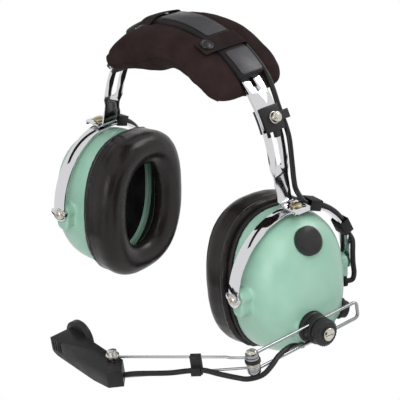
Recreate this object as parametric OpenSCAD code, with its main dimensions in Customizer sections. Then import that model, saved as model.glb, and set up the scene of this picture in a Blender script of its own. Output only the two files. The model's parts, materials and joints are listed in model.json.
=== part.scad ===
// Passive aviation headset: two ear cups on a sprung bow, with a wire boom microphone.
// Origin: the crown of the wearer's head, under the middle of the head pad.
// +X is the wearer's left, -Y the wearer's front, +Z up. Millimetres and degrees.

/* [Bow] */
// Outer radius of the sprung steel bow
bow_r = 83; // [78:1:92]
// Width of the bow and of the height straps
bow_w = 16; // [14:0.5:18]
// Thickness of the bow and of the height straps
bow_t = 1.2; // [0.8:0.1:1.5]
// Angle above the horizontal at which each clamp sits on the bow
clamp_at = 30; // [27:1:32]
// Angle above the horizontal at which the bow ends, inside the clamp
bow_end = 26; // [25:0.5:27]
// Width of the slots in the bow, above the clamps
bow_slot_w = 3.4; // [2:0.2:5]

/* [Height straps] */
// Gap between the bow and the strap that slides under it
strap_gap = 0.3; // [0.3:0.02:0.4]
// Width of the slot that runs along the clamp bolt
strap_slot_w = 5; // [4.6:0.1:7]
// Angle at which the slot ends, under the bow
slot_to = 42; // [40:1:44]
// Width of the neck below the slot
neck_w = 12; // [10:0.5:14]
// Angle at which a strap leaves the bow's curve and runs on straight
neck_from = 13.5; // [12:0.5:16]
// Width of the foot
foot_w = 13.5; // [12:0.5:14]
// Reach of the foot past the swivel rivet
foot_reach = 6.2; // [6:0.1:7]

/* [Clamps] */
// Width of the black clamp block, across the bow
clamp_w = 14; // [12:0.2:16]
// Length of the clamp block along the strap, in degrees of the bow
clamp_arc = 11; // [9:1:13]
// Height of the block above the bow
clamp_h = 3.4; // [2.5:0.1:5]
// Radius of the clamp bolt
bolt_r = 2; // [1.6:0.1:2.1]

/* [Head pad] */
// Radius of the pad's inner face, over the head
pad_in_r = 62; // [58:1:66]
// Outer radius of the pad and of its sleeve
pad_out_r = 89.5; // [88.5:0.5:92]
// Half of the pad's width, front to back, at the crown
pad_half_w = 36; // [30:1:42]
// Angle from the crown to each end of the pad
pad_arc = 46; // [44:1:49]
// The same on the right side, where the pad reaches lower
pad_arc_right = 52; // [46:1:53]
// Angle from the crown to each end of the vinyl sleeve
sleeve_arc = 40; // [36:1:42]
// Width of the vinyl sleeve round the bow
sleeve_w = 22; // [20:0.5:23]

/* [Ear cups] */
// Distance from the middle to the swivel rivet of each cup
rivet_x = 96; // [93:0.5:98]
// Depth of the cup pivots below the crown
pivot_drop = 126.5; // [125:0.5:130]
// How far the left cup turns in towards the front, at rest
toe_left = 5; // [0:1:10]
// How far the right cup turns in towards the front, at rest
toe_right = 9; // [0:1:12]
// Lean of the left cup about its pivots, at rest
left_lean = 5.5; // [-2:0.5:6]
// Lean of the right cup about its pivots, at rest
right_lean = 0; // [-2:0.5:6]
// Half width of a dome, front to back
dome_a = 37.5; // [36:0.5:38.5]
// Half height of a dome
dome_b = 48; // [46:0.5:48]
// Depth of a dome, from its rim to its outer face
dome_h = 40; // [38:0.5:42]
// Wall of a dome
dome_wall = 2.6; // [2:0.1:3.2]
// Distance that the rim sits inward of the pivots
rim_in = 14; // [13:0.5:15]
// Thickness of the black plate between dome and seal
plate_t = 3.4; // [2.5:0.1:4.5]
// Depth of an ear seal
seal_depth = 24; // [20:0.5:27]
// How far an ear seal stands out beyond the dome, front and back
seal_over = 5.5; // [4:0.5:6.5]
// Half width of the hole in an ear seal
seal_hole_a = 18.5; // [17:0.5:22]
// Half height of the hole in an ear seal
seal_hole_b = 29.5; // [27:0.5:32]

/* [Stirrups] */
// Outer radius of the stirrup's bend
yoke_r = 48; // [48:0.5:50]
// Thickness of the stirrup's steel
yoke_t = 1.4; // [1:0.1:1.6]
// Width of the stirrup's arms
yoke_w = 9; // [7.5:0.5:10]
// Distance from the stirrup's middle to the swivel rivet
rivet_off = 3.5; // [3:0.5:4]
// Radius of the swivel rivet's shank
rivet_r = 2; // [1.6:0.1:2.4]
// Radius of the cup pivot screws
pivot_r = 1.6; // [1.3:0.1:2]

/* [Volume control] */
// Radius of the volume knob
knob_r = 9.6; // [8:0.2:11]
// Height of the volume knob
knob_h = 5.6; // [4:0.2:9]
// Number of ribs round the volume knob
knob_ribs = 40; // [24:2:60]
// Height of the volume control above the cup pivots
volume_up = 32.5; // [30:0.5:34]
// Distance of the volume control in front of the pivots
volume_fore = 3; // [0:0.5:4]

/* [Boom mount] */
// Depth of the boom mount below the cup pivots
boom_down = 24; // [22:0.5:26]
// Distance that the boom mount sits in front of the cup pivots
boom_fore = 5.5; // [2:0.5:7]
// Radius of the black base on the dome
base_r = 10.5; // [9:0.25:12]
// Radius of the hub that holds the wires
hub_r = 9.5; // [8.7:0.2:10.3]
// Radius of the lock knob
lock_r = 9; // [7.5:0.25:10]
// Radius of the stud that the boom turns on
stud_r = 2.4; // [2:0.1:2.8]

/* [Boom] */
// Radius of the inner boom's wire
wire_r = 1.1; // [0.8:0.05:1.3]
// Distance between the two runs of the inner wire
wire_gap = 11.3; // [10.5:0.1:12]
// Reach of the wire loop behind the boom mount
loop_back = 34; // [30:1:40]
// Distance from the boom mount to the knuckle
knuckle_reach = 54; // [50:1:58]
// Slope of the inner boom, down towards the front
boom_pitch = 6; // [0:1:10]
// Turn of the outer boom at the knuckle, towards the mouth
knuckle_turn = 49; // [42:1:52]
// Radius of the knuckle's post
post_r = 2; // [1.6:0.1:2.2]
// Radius of the outer boom's wires
outer_wire_r = 0.85; // [0.6:0.05:1.1]
// Length of the outer boom, from the knuckle to the microphone's bolt
outer_len = 90; // [80:1:100]

/* [Microphone] */
// Turn of the microphone on its bolt, towards the mouth
mic_turn = 40; // [32:1:46]
// Rise of the microphone's far end
mic_rise = 7; // [0:1:10]
// Length of the housing
mic_len = 62; // [56:1:64]
// Depth of the housing, front to back
mic_d = 17; // [15:0.5:18]
// Height of the housing at the bolt
mic_near_h = 11.5; // [9:0.5:12]
// Height of the housing at its far end
mic_far_h = 11.5; // [10:0.5:14]
// Radius of the round element that faces the mouth
element_r = 12; // [11:0.5:15]
// Radius of the microphone's bolt
mic_bolt_r = 1.8; // [1.5:0.1:2]

/* [Cords] */
// Radius of the cords
cord_r = 1.75; // [1.4:0.05:1.8]
// Radius of the bore for the main cord
inlet_r = 3.6; // [3:0.1:4]

/* [Fits] */
// Radial clearance of a pin in its bore
fit = 0.05; // [0.02:0.01:0.08]
// Gap between two flat faces that move past each other
slip = 0.1; // [0.05:0.05:0.15]
// Gap round a soft piece
ease = 0.3; // [0.2:0.1:0.5]

/* [Hidden] */
$fn = 48;
bow_z = -pad_in_r;                       // height of the bow's centre of curvature
strap_r = bow_r - bow_t - strap_gap;     // outer radius of a height strap
strap_in = strap_r - bow_t;
strap_end = slot_to + 4;                 // angle at which a strap ends under the bow
pivot_z = -pivot_drop;
sleeve_in = strap_in - 0.3;              // inner face of the sleeve's bore
sleeve_floor = sleeve_in - 1.3;
sleeve_top = pad_out_r - 0.7;
pad_floor = sleeve_floor - ease;
cord_y = sleeve_w/2 + cord_r + 0.4;      // cord beside the sleeve
cord_way = cord_y + cord_r + ease;       // rear wall of the pad's channel
yoke_in = yoke_r - yoke_t;
washer_t = 1.2;
yoke_lift = 3;                           // height of a stirrup's arch above its pivots
foot_z = pivot_z + yoke_lift + yoke_r + slip + washer_t;   // underside of a strap's foot
head_h = 1.6;
dome_mid = -1;                           // middle of a dome, from its pivots
face_o = dome_h - rim_in;                // outer face of a dome, from its pivots
curve_n = 3;                             // fullness of a dome's profile
plan_n = 2.4;                            // fullness of a dome's outline
lip_w = 3.5;                             // width of the dome's inner lip
lip_t = 2.4;
plate_in = 2.6;                          // width of the seal plate
boss_end = yoke_in - 1.3;                // end of a dome's pivot boss
seal_n = 2.5;                            // fullness of a seal's outline
volume_tip = 30;                         // tilt of the volume control's axis
seat_o = face_o - 1.2;                   // flat seat for the boom base
base_t = 4;
hub_from = seat_o + base_t + slip;       // start of the boom hub
hub_t = 5.6;
wire_o = hub_from + hub_t/2;             // plane of the boom's wires
lock_from = hub_from + hub_t + slip;
lock_t = 6.6;
stud_head = lock_from + lock_t + slip;
bend_r = 3;                              // bend at the rear of the wire loop
eye_r = 4.3;
eye_z = wire_gap/2;                      // height of the inner eyes on the post
collar_z = 3.55;                         // height of the outer boom's upper wire
lower_z = -3.6;                          // height of the outer boom's lower wire
mic_eye_z = mic_near_h/2 + 1.6;          // height of the wire eyes on the mic bolt
mic_tail = 10;                           // housing behind its bolt, without its tip
mic_edge = 3.6;                          // housing beside its bolt, towards the mouth
element_t = 5.5;
element_at = mic_len - mic_tail - 8;     // middle of the element, from the bolt
element_z = 4.4;
cord_in_z = -1.5;                        // height of the cord where it enters the housing

// ---- places -------------------------------------------------------------

// Left side as it is, right side mirrored
module side(s) {
    if (s > 0) children(); else mirror([1, 0, 0]) children();
}

// Bow frame: X and Y lie in the bow's plane, Z runs along its width, towards the front
module bow_plane() {
    translate([0, 0, bow_z]) rotate([90, 0, 0]) children();
}

// On the bow at an angle above the horizontal: X points outward, Y to the back
module on_bow(a) {
    translate([0, 0, bow_z]) rotate([0, -a, 0]) children();
}

function toe(s) = s > 0 ? toe_left : toe_right;
function lean(s) = s > 0 ? left_lean : right_lean;

// Swivel frame: origin on the rivet's axis at the height of the pivots
module swivel_place(s) {
    translate([rivet_x, 0, pivot_z]) rotate([0, 0, -toe(s)]) children();
}

// Stirrup frame: X outward, Y to the back, origin between the cup pivots
module stirrup_place(s) {
    swivel_place(s) translate([-rivet_off, 0, 0]) children();
}

// Cup frame: the stirrup frame, leaned about the pivots
module cup_place(s) {
    stirrup_place(s) rotate([0, -lean(s), 0]) children();
}

// Boom frame: X outward, -Y along the inner boom, origin on the stud's axis
module boom_place() {
    cup_place(1) translate([wire_o, -boom_fore, -boom_down])
        rotate([boom_pitch, 0, 0]) children();
}

module knuckle_place() {
    boom_place() translate([0, -knuckle_reach, 0]) children();
}

// Outer boom frame: -Y along the outer boom
module outer_place() {
    knuckle_place() rotate([0, 0, -knuckle_turn]) children();
}

// Microphone frame: -Y along the housing, X away from the mouth
module mic_place() {
    outer_place() translate([0, -outer_len, 0]) rotate([0, 0, -mic_turn]) children();
}

// ---- shapes -------------------------------------------------------------

// Power that squares a circle's sine or cosine into a fuller curve
function full(v, n) = sign(v)*pow(abs(v), 2/n);

// Full oval of half width a and half height b, as [y, z] points
function oval(a, b, n = plan_n, mid = dome_mid, count = 40) =
    [for (i = [0:count - 1]) let (t = 360*i/count) [a*full(cos(t), n), mid + b*full(sin(t), n)]];

// Outward distance of the dome's surface above the pivots' height z
function dome_o(z, y = 0) =
    let (k = pow(pow(abs(y)/dome_a, plan_n) + pow(abs(z - dome_mid)/dome_b, plan_n), 1/plan_n))
    dome_h*pow(1 - pow(k, curve_n), 1/curve_n) - rim_in;

function volume_o() = dome_o(volume_up, volume_fore);

// Solid through a list of rings, each counter-clockwise as seen from the last one
module loft(rings, loop = false) {
    n = len(rings[0]);
    m = len(rings);
    last = loop ? m - 1 : m - 2;
    walls = [for (i = [0:last], j = [0:n - 1])
        let (k = (i + 1)%m, a = i*n + j, b = i*n + (j + 1)%n, c = k*n + (j + 1)%n, d = k*n + j)
        each [[a, c, b], [a, d, c]]];
    ends = loop ? [] : [[for (j = [0:n - 1]) j], [for (j = [n - 1:-1:0]) (m - 1)*n + j]];
    polyhedron([for (r = rings) each r], concat(walls, ends), convexity = 6);
}

// Arc of rectangular section in the bow's plane, width centred
module arc_band(r, t, w, from, to) {
    bow_plane() rotate([0, 0, from]) rotate_extrude(angle = to - from, $fn = 96)
        translate([r - t, -w/2]) square([t, w]);
}

// Straight round wire between two points
module wire(p, q, r) {
    d = q - p;
    translate(p) rotate([0, acos(d.z/norm(d)), atan2(d.y, d.x)]) cylinder(h = norm(d), r = r, $fn = 24);
}

// Slot through the bow or a strap, with round ends, between two angles
module arc_slot(r, w, from, to) {
    trim = asin(w/2/r);
    arc_band(r + 2, 5, w, from + trim, to - trim);
    for (a = [from + trim, to - trim])
        on_bow(a) translate([r - 3, 0, 0]) rotate([0, 90, 0]) cylinder(h = 5, d = w);
}

// Smooth curve through hand-placed points: k steps a span
function between(p, i, u) =
    let (n = len(p), a = p[max(i - 1, 0)], b = p[i], c = p[i + 1], d = p[min(i + 2, n - 1)])
    0.5*(2*b + (c - a)*u + (2*a - 5*b + 4*c - d)*u*u + (3*b - a - 3*c + d)*u*u*u);
function smooth(p, k) = concat([for (i = [0:len(p) - 2], j = [0:k - 1]) between(p, i, j/k)],
    [p[len(p) - 1]]);
function unit(v) = v/norm(v);
function along(p, i) = unit(p[min(i + 1, len(p) - 1)] - p[max(i - 1, 0)]);

// Round cord swept along a route; ref is never in line with it
module cord(route, k, ref, r = cord_r) {
    p = smooth(route, k);
    color([0.07, 0.07, 0.08]) loft([for (i = [0:len(p) - 1])
        let (t = along(p, i), u = unit(cross(t, ref)), v = cross(t, u))
        [for (j = [0:7]) p[i] + r*(cos(45*j)*u + sin(45*j)*v)]]);
}

// Stirrup and cup coordinates turned into the left side's own
function from_stirrup(p, s) = [rivet_x + (p.x - rivet_off)*cos(toe(s)) + p.y*sin(toe(s)),
    p.y*cos(toe(s)) - (p.x - rivet_off)*sin(toe(s)), pivot_z + p.z];
function on_arm(a, r, o, s) = from_stirrup([o, r*cos(a), yoke_lift + r*sin(a)], s);
function over_bow(a, r, y) = [r*cos(a), y, bow_z + r*sin(a)];

// ---- bow and clamps -----------------------------------------------------

module headband_spring() {
    color([0.80, 0.81, 0.83]) difference() {
        arc_band(bow_r, bow_t, bow_w, bow_end, 180 - bow_end);
        for (a = [clamp_at, 180 - clamp_at])
            on_bow(a) rotate([0, 90, 0]) translate([0, 0, bow_r - 4]) cylinder(h = 8, r = bolt_r + fit);
        arc_slot(bow_r, bow_slot_w, clamp_at + 13, clamp_at + 30);
        arc_slot(bow_r, bow_slot_w, 150 - clamp_at, 167 - clamp_at);
    }
}

hook_cord = bow_w/2 + ease + cord_r + 0.5;   // cord in a clamp's hook
hook_y = hook_cord + cord_r + 1.4;

// Black block on the bow, with a hook for the cord
module clamp_block(s) {
    half = clamp_arc/2;
    top = bow_r + 0.02 + clamp_h;
    color([0.09, 0.09, 0.10]) side(s) difference() {
        union() {
            arc_band(top, clamp_h, clamp_w, clamp_at - half, clamp_at + half);
            arc_band(top - 0.3, clamp_h - 0.8, 4, clamp_at - half - 2.8, clamp_at - half + 1);
            translate([0, hook_y/2 + 3, 0]) arc_band(top - 0.2, 1.6, hook_y - 6, clamp_at - 2, clamp_at + 2);
            translate([0, hook_y - 0.5, 0]) arc_band(top - 0.6, 6, 1, clamp_at - 1.9, clamp_at + 1.9);
        }
        on_bow(clamp_at) rotate([0, 90, 0]) translate([0, 0, bow_r - 10]) cylinder(h = 20, r = bolt_r + fit);
    }
}

module clamp_block_left() { clamp_block(1); }
module clamp_block_right() { clamp_block(-1); }

// Plates that press the straps from inside
plate_r = strap_in - strap_gap;
module clamp_plates() {
    half = clamp_arc/2;
    color([0.12, 0.12, 0.13]) for (s = [1, -1]) side(s) difference() {
        arc_band(plate_r, 1.6, bow_w, clamp_at - half, clamp_at + half);
        on_bow(clamp_at) rotate([0, 90, 0]) translate([0, 0, plate_r - 5]) cylinder(h = 10, r = bolt_r + fit);
    }
}

module clamp_bolts() {
    from = plate_r - 1.75;
    color([0.72, 0.70, 0.66]) for (s = [1, -1]) side(s) on_bow(clamp_at) rotate([0, 90, 0]) {
        translate([0, 0, from - 1.5]) cylinder(h = 1.5, r = 4);
        translate([0, 0, from - 0.1]) cylinder(h = bow_r + clamp_h + 5 - from, r = bolt_r);
    }
}

// Nuts on washers, outside the clamps
module clamp_nuts() {
    color([0.78, 0.76, 0.72]) for (s = [1, -1]) side(s) on_bow(clamp_at)
        rotate([0, 90, 0]) translate([0, 0, bow_r + 0.05 + clamp_h]) difference() {
            union() {
                cylinder(h = 1, r = 4);
                cylinder(h = 3.8, r = 3.5);
                translate([0, 0, 3.8]) cylinder(h = 0.7, r1 = 3.5, r2 = 2.8);
            }
            translate([0, 0, -1]) cylinder(h = 9, r = bolt_r + fit);
        }
}

// ---- head pad -----------------------------------------------------------

pad_front = sleeve_w/2 + ease;           // front wall of the pad's channel

// Upper and lower halves of a lobe, between its inner edge and its outer edge
function lobe_top(w, c, mid, top) = [for (f = [1, 0.94, 0.82, 0.66, 0.48, 0.3, 0.14, 0.03, 0])
    [c + (w - c)*f, f < 0.01 ? mid + (top - mid)*0.86
        : mid + (top - mid)*pow(1 - pow(max(0, (f - 0.2)/0.8), 1.85), 0.54)]];
function lobe_low(w, mid, low) = [for (f = [0.99, 0.94, 0.84, 0.68, 0.46, 0.2])
    [w*f, mid - (mid - low)*pow(1 - pow(f, 3), 0.33)]];

// Section of the pad at a share k of its arc, from -1 on the right to 1, as [y, radius] points.
// The front lobe is fuller below on the right and thinner on the left.
front_low = [[-1, 2], [-0.8, -1], [-0.6, -4], [-0.38, -6], [-0.2, -3.5], [0, 0], [0.2, 3.5], [0.5, 5], [1, 5]];
front_top = [[-1, -11], [-0.85, -8], [-0.65, -5], [-0.45, -2.5], [-0.2, -1], [1, 0]];
function pad_section(k) =
    let (g = pow(1 - pow(abs(k), 6), 0.36), end_f = pad_front + 7, end_r = cord_way + 6,
        wf = end_f + (pad_half_w - end_f)*g, wr = end_r + (pad_half_w - 1 - end_r)*g,
        fall = 4.5*(1 - g), lift = 7*(1 - g), mid = pad_in_r + 14,
        top_f = pad_out_r - fall + lookup(k, front_top), low_f = pad_in_r + lift + lookup(k, front_low),
        top_r = pad_out_r - fall - 2, low_r = pad_in_r + lift,
        rear = lobe_top(wr, cord_way, mid, top_r), front = lobe_top(wf, pad_front, mid, top_f))
    concat([[-pad_front, pad_floor]], [for (i = [8:-1:0]) [-front[i][0], front[i][1]]],
        [for (p = lobe_low(wf, mid, low_f)) [-p[0], p[1]]],
        [for (i = [5:-1:0]) lobe_low(wr, mid, low_r)[i]], rear, [[cord_way, pad_floor]]);

module headpad() {
    steps = 30;
    color([0.17, 0.13, 0.12]) loft([for (i = [0:steps]) let (k = -cos(180*i/steps), a = k*(k < 0 ? pad_arc_right : pad_arc))
        [for (p = pad_section(k)) [p[1]*sin(a), p[0], bow_z + p[1]*cos(a)]]]);
}

// Vinyl tube round the bow and the straps' ends
module pad_sleeve() {
    bore = bow_w + 2*ease;
    round_r = 3;
    color([0.23, 0.23, 0.24]) bow_plane() rotate([0, 0, 90 - sleeve_arc])
        rotate_extrude(angle = 2*sleeve_arc, $fn = 96) difference() {
            union() {
                translate([sleeve_floor, -sleeve_w/2]) square([sleeve_top - sleeve_floor - round_r, sleeve_w]);
                translate([sleeve_floor, -sleeve_w/2 + round_r])
                    square([sleeve_top - sleeve_floor, sleeve_w - 2*round_r]);
                for (y = [-1, 1]) translate([sleeve_top - round_r, y*(sleeve_w/2 - round_r)])
                    circle(r = round_r);
            }
            translate([sleeve_in, -bore/2]) square([bow_r + ease - sleeve_in, bore]);
        }
}

// Fabric tabs over the sleeve, out to the snaps on the front lobe
tab_from = 16.5;
tab_to = 25;
tab_t = 0.9;
tab_in = pad_out_r + 0.2;
module pad_tabs() {
    color([0.13, 0.12, 0.12]) for (s = [1, -1]) side(s) bow_plane()
        rotate([0, 0, 90 - tab_to]) rotate_extrude(angle = tab_to - tab_from, $fn = 96)
            translate([tab_in, -sleeve_w/2 - 1]) square([tab_t, sleeve_w + 13]);
}

module pad_snaps() {
    color([0.20, 0.20, 0.21]) for (s = [1, -1]) side(s) on_bow(90 - (tab_from + tab_to)/2)
        translate([tab_in + tab_t + 0.02, -sleeve_w/2 - 7, 0]) rotate([0, 90, 0]) {
            cylinder(h = 1, r = 4.4);
            translate([0, 0, 1]) cylinder(h = 0.5, r1 = 3.6, r2 = 3);
        }
}

// ---- height straps and swivels --------------------------------------------

// Steel strap: slotted arc under the bow, straight neck, foot bent outward with a lip
module strap(s) {
    bend = 3;
    bend_z = foot_z + bow_t + bend - bow_z;
    bend_x = (strap_r + bend - bend_z*sin(neck_from))/cos(neck_from);
    neck_len = bend_x*sin(neck_from) - bend_z*cos(neck_from);
    foot_end = rivet_x + foot_reach;
    arc = strap_end - neck_from;
    slot_arc = slot_to - neck_from - asin(strap_slot_w/2/strap_r);
    slot_low = 4.5;
    turn = [for (i = [0:6]) 180 + (90 - neck_from)*i/6];
    mid = [strap_r + bend, -neck_len];
    out = [cos(neck_from), -sin(neck_from)];
    function rim(r, t) = mid + r*[cos(t), sin(t)];
    side = concat([[strap_r, 0], [strap_in, 0]], [for (t = turn) rim(bend + bow_t, t)],
        [rim(bend + bow_t, turn[6]) + 4*out, rim(bend, turn[6]) + 4*out], [for (i = [6:-1:0]) rim(bend, turn[i])]);
    shoulder = [[neck_w/2, -60], [bow_w, -60], [bow_w, -7], [bow_w/2 + 0.2, -8], [neck_w/2, -14]];
    color([0.80, 0.81, 0.83]) side(s) difference() {
        union() {
            translate([0, 0, bow_z]) rotate([0, -neck_from, 0]) {
                rotate([90, 0, 0]) rotate_extrude(angle = arc, $fn = 96)
                    translate([strap_in, -bow_w/2]) square([bow_t, bow_w]);
                difference() {
                    translate([0, bow_w/2, 0]) rotate([90, 0, 0]) linear_extrude(bow_w) polygon(side);
                    for (y = [0, 1]) mirror([0, y, 0]) rotate([90, 0, 90]) linear_extrude(120) polygon(shoulder);
                }
            }
            translate([bend_x + 0.5, -foot_w/2, foot_z]) cube([foot_end - bend_x - 0.5, foot_w, bow_t]);
            translate([foot_end - bow_t, -foot_w/2 + 0.1, foot_z - 1.8]) cube([bow_t, foot_w - 0.2, 2.4]);
        }
        translate([0, 0, bow_z]) rotate([0, -neck_from, 0]) {
            rotate([90, 0, 0]) rotate_extrude(angle = slot_arc, $fn = 96)
                translate([strap_r - 3, -strap_slot_w/2]) square([5, strap_slot_w]);
            translate([strap_r - 3, -strap_slot_w/2, -slot_low]) cube([5, strap_slot_w, slot_low]);
            translate([strap_r - 3, 0, -slot_low]) rotate([0, 90, 0]) cylinder(h = 5, d = strap_slot_w);
            rotate([0, -slot_arc, 0]) translate([strap_r - 3, 0, 0]) rotate([0, 90, 0])
                cylinder(h = 5, d = strap_slot_w);
        }
        translate([rivet_x, 0, foot_z - 1]) cylinder(h = 4, r = rivet_r + fit);
    }
}

module strap_left() { strap(1); }
module strap_right() { strap(-1); }

// Brass rivet through foot, washer and stirrup
module swivel_rivet(s) {
    low = pivot_z + yoke_lift + yoke_in - 0.45;
    top = foot_z + bow_t + 0.02;
    color([0.72, 0.60, 0.34]) side(s) translate([rivet_x, 0, 0]) {
        translate([0, 0, low - 0.7]) cylinder(h = 0.7, r = 3.2);
        translate([0, 0, low - 0.1]) cylinder(h = top - low + 0.2, r = rivet_r);
        translate([0, 0, top]) cylinder(h = head_h - 0.6, r = 3.9);
        translate([0, 0, top + head_h - 0.6]) cylinder(h = 0.6, r1 = 3.9, r2 = 2.8);
    }
}

module swivel_rivet_left() { swivel_rivet(1); }
module swivel_rivet_right() { swivel_rivet(-1); }

module swivel_washer(s) {
    color([0.66, 0.66, 0.68]) side(s) translate([rivet_x, 0, pivot_z + yoke_lift + yoke_r + slip]) difference() {
        cylinder(h = washer_t - 0.02, r = 4.5);
        translate([0, 0, -1]) cylinder(h = 4, r = rivet_r + fit);
    }
}

module swivel_washer_left() { swivel_washer(1); }
module swivel_washer_right() { swivel_washer(-1); }

// ---- stirrups -------------------------------------------------------------

// End of an arm, lying in the arm's own plane: round eye, a bulge and a stop tab bent outward
module arm_end(s) {
    tab_x = yoke_w/2 + 1.2;
    difference() {
        rotate([-90, 0, 0]) {
            rotate([0, 0, 65]) cylinder(h = yoke_t, r = yoke_w/2 + 1.1);
            translate([-s*(yoke_w/2 + 0.2), -0.6, 0]) rotate([0, 0, 35]) cylinder(h = yoke_t, r = 2.6);
        }
        translate([-10, -1, yoke_lift - 0.5]) cube([20, 4, 10]);
    }
    translate([-yoke_w/2, 0, -1]) cube([yoke_w, yoke_t, 1 + yoke_lift]);
    translate([s*(tab_x - 1) - 2, 0.1, -0.4]) cube([4, yoke_t - 0.2, 2.8]);
    translate([s*(tab_x + 0.3) - 0.7, 0.3, -0.2]) cube([1.4, yoke_t + 1.6, 2.4]);
}

// Half ring over the dome, with a lug for the rivet and an eye for each pivot screw.
// It is the same front and back, so the right one is the left one turned round.
module stirrup(s) {
    color([0.80, 0.81, 0.83]) translate([s*rivet_x, 0, pivot_z])
        rotate([0, 0, s > 0 ? -toe_left : 180 + toe_right]) translate([-rivet_off, 0, 0]) difference() {
            union() {
                translate([0, 0, yoke_lift]) rotate([90, 0, 90]) rotate_extrude(angle = 180, $fn = 96)
                    translate([yoke_in, -yoke_w/2]) square([yoke_t, yoke_w]);
                translate([rivet_off, 0, yoke_lift + yoke_in + 0.1]) cylinder(h = yoke_t - 0.2, r = 4.6);
                for (y = [0, 1]) mirror([0, y, 0]) translate([0, yoke_in, 0]) arm_end(s);
            }
            translate([rivet_off, 0, yoke_lift + yoke_in - 1]) cylinder(h = 4, r = rivet_r + fit);
            rotate([90, 0, 0]) cylinder(h = 3*yoke_r, r = pivot_r + fit, center = true);
        }
}

module stirrup_left() { stirrup(1); }
module stirrup_right() { stirrup(-1); }

// Both pivots' directions, outward from the cup
module at_pivots() {
    for (y = [0, 180]) rotate([0, 0, y]) rotate([-90, 0, 0]) children();
}

// Front and rear pivot screws with their washers, fixed in the stirrup's ends
module pivot_screws(s) {
    tip = boss_end - 8;
    color([0.62, 0.56, 0.48]) side(s) stirrup_place(s) at_pivots() difference() {
        union() {
            translate([0, 0, tip]) cylinder(h = yoke_r + 1 - tip, r = pivot_r);
            translate([0, 0, boss_end + slip]) cylinder(h = yoke_in - boss_end - slip - 0.02, r = 3.2);
            translate([0, 0, yoke_r + 0.02]) cylinder(h = 0.6, r = 4);
            translate([0, 0, yoke_r + 0.6]) cylinder(h = 0.9, r = 3.1);
            translate([0, 0, yoke_r + 1.5]) cylinder(h = 0.7, r1 = 3.1, r2 = 2);
        }
        translate([0, 0, yoke_r + 2.2]) cube([0.8, 8, 1.4], center = true);
    }
}

module pivot_screws_left() { pivot_screws(1); }
module pivot_screws_right() { pivot_screws(-1); }

// ---- ear cups -------------------------------------------------------------

// Rings of the dome's surface, drawn in by a wall, starting at a given depth
function dome_rings(wall, from) =
    let (a = dome_a - wall, b = dome_b - wall, h = dome_h - wall)
    [for (i = [0:11]) let (u = 84*i/11, k = full(cos(u), curve_n), o = h*full(sin(u), curve_n) - rim_in)
        [for (p = oval(a*k, b*k)) [i == 0 ? from : o, p[0], p[1]]]];

// Straight prism of an oval, along the outward axis
module oval_prism(a, b, from, to) {
    rotate([90, 0, 90]) translate([0, 0, from]) linear_extrude(to - from) polygon(oval(a, b));
}

// Pad moulded on the dome round a pivot
module boss_outline() {
    circle(r = 5.8);
    translate([-4.6, -9]) square([9.2, 9]);
    translate([0, -9]) circle(r = 4.6);
}

// Moulded shell with its pivot bosses; children are joined to it inside and out
module dome_shell(s) {
    mount = boss_end - dome_a + 4;
    cup_place(s) difference() {
        union() {
            difference() {
                union() {
                    loft(dome_rings(0, -rim_in));
                    for (y = [boss_end, mount - boss_end]) translate([0, y, 0])
                        rotate([90, 0, 0]) linear_extrude(mount) boss_outline();
                }
                loft(dome_rings(dome_wall, lip_t - rim_in));
                oval_prism(dome_a - dome_wall - lip_w, dome_b - dome_wall - lip_w,
                    -rim_in - 1, lip_t - rim_in + 0.5);
            }
            translate([phone_back + 0.1, 0, phone_z]) rotate([0, 90, 0])
                cylinder(h = face_o - 1.4 - phone_back, r = 5);
            children(0);
        }
        at_pivots() translate([0, 0, boss_end - 9]) cylinder(h = 12, r = pivot_r + fit);
        grommet_place() cylinder(h = 14, r = grommet_r - 0.9 + fit, center = true);
        children(1);
    }
}

phone_z = 2;                             // height of the earphone's middle
phone_from = lip_t - rim_in + 3.2;
phone_back = phone_from + 11;
grommet_r = 3.4;
gland_r = inlet_r + 2.2;

// Rear grommet, for the cord between the cups: Z points out of the dome
module grommet_place() {
    translate([9, dome_a*0.93, -10]) rotate([0, 0, 66]) rotate([0, 90, 0]) children();
}

// Lower front grommet, for the microphone's cord
mic_exit = [18, -8, -38];
module mic_exit_place() {
    translate(mic_exit) rotate([0, 35, 0]) rotate([0, 90, 0]) children();
}

// Lower rear gland, for the main cord
module gland_place() {
    translate([9, 30.6, -27]) rotate([0, 0, 66]) rotate([0, 112, 0]) children();
}

module volume_at() {
    translate([volume_o(), -volume_fore, volume_up]) rotate([0, 90 - volume_tip, 0]) children();
}

module boom_axis() {
    translate([0, -boom_fore, -boom_down]) rotate([0, 90, 0]) children();
}

module dome_left() {
    color([0.64, 0.76, 0.69]) dome_shell(1) {
        union() {
            boom_axis() translate([0, 0, seat_o - 9]) cylinder(h = 9, r = base_r + 1);
            volume_at() translate([0, 0, -5]) cylinder(h = 5, r = 7.5);
            gland_place() translate([0, 0, -8]) cylinder(h = 8.5, r = gland_r + 1.6);
        }
        union() {
            boom_axis() cylinder(h = 40, r = stud_r + fit);
            boom_axis() translate([0, 0, seat_o]) cylinder(h = 5, r = base_r + 0.4);
            volume_at() translate([0, 0, -12]) cylinder(h = 14, r = 3.6);
            gland_place() translate([0, 0, -12]) cylinder(h = 14, r = gland_r + fit);
            mic_exit_place() cylinder(h = 14, r = cord_r + 0.3, center = true);
        }
    }
}

module dome_right() {
    color([0.64, 0.76, 0.69]) side(-1) dome_shell(-1) {
        translate([face_o - 3, 0, -boom_down]) rotate([0, 90, 0]) cylinder(h = 1, r = 2);
        translate([face_o + 1, 0, 0]) cube(1);
    }
}

module cup_side(s) {
    side(s) cup_place(s) children();
}

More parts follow.
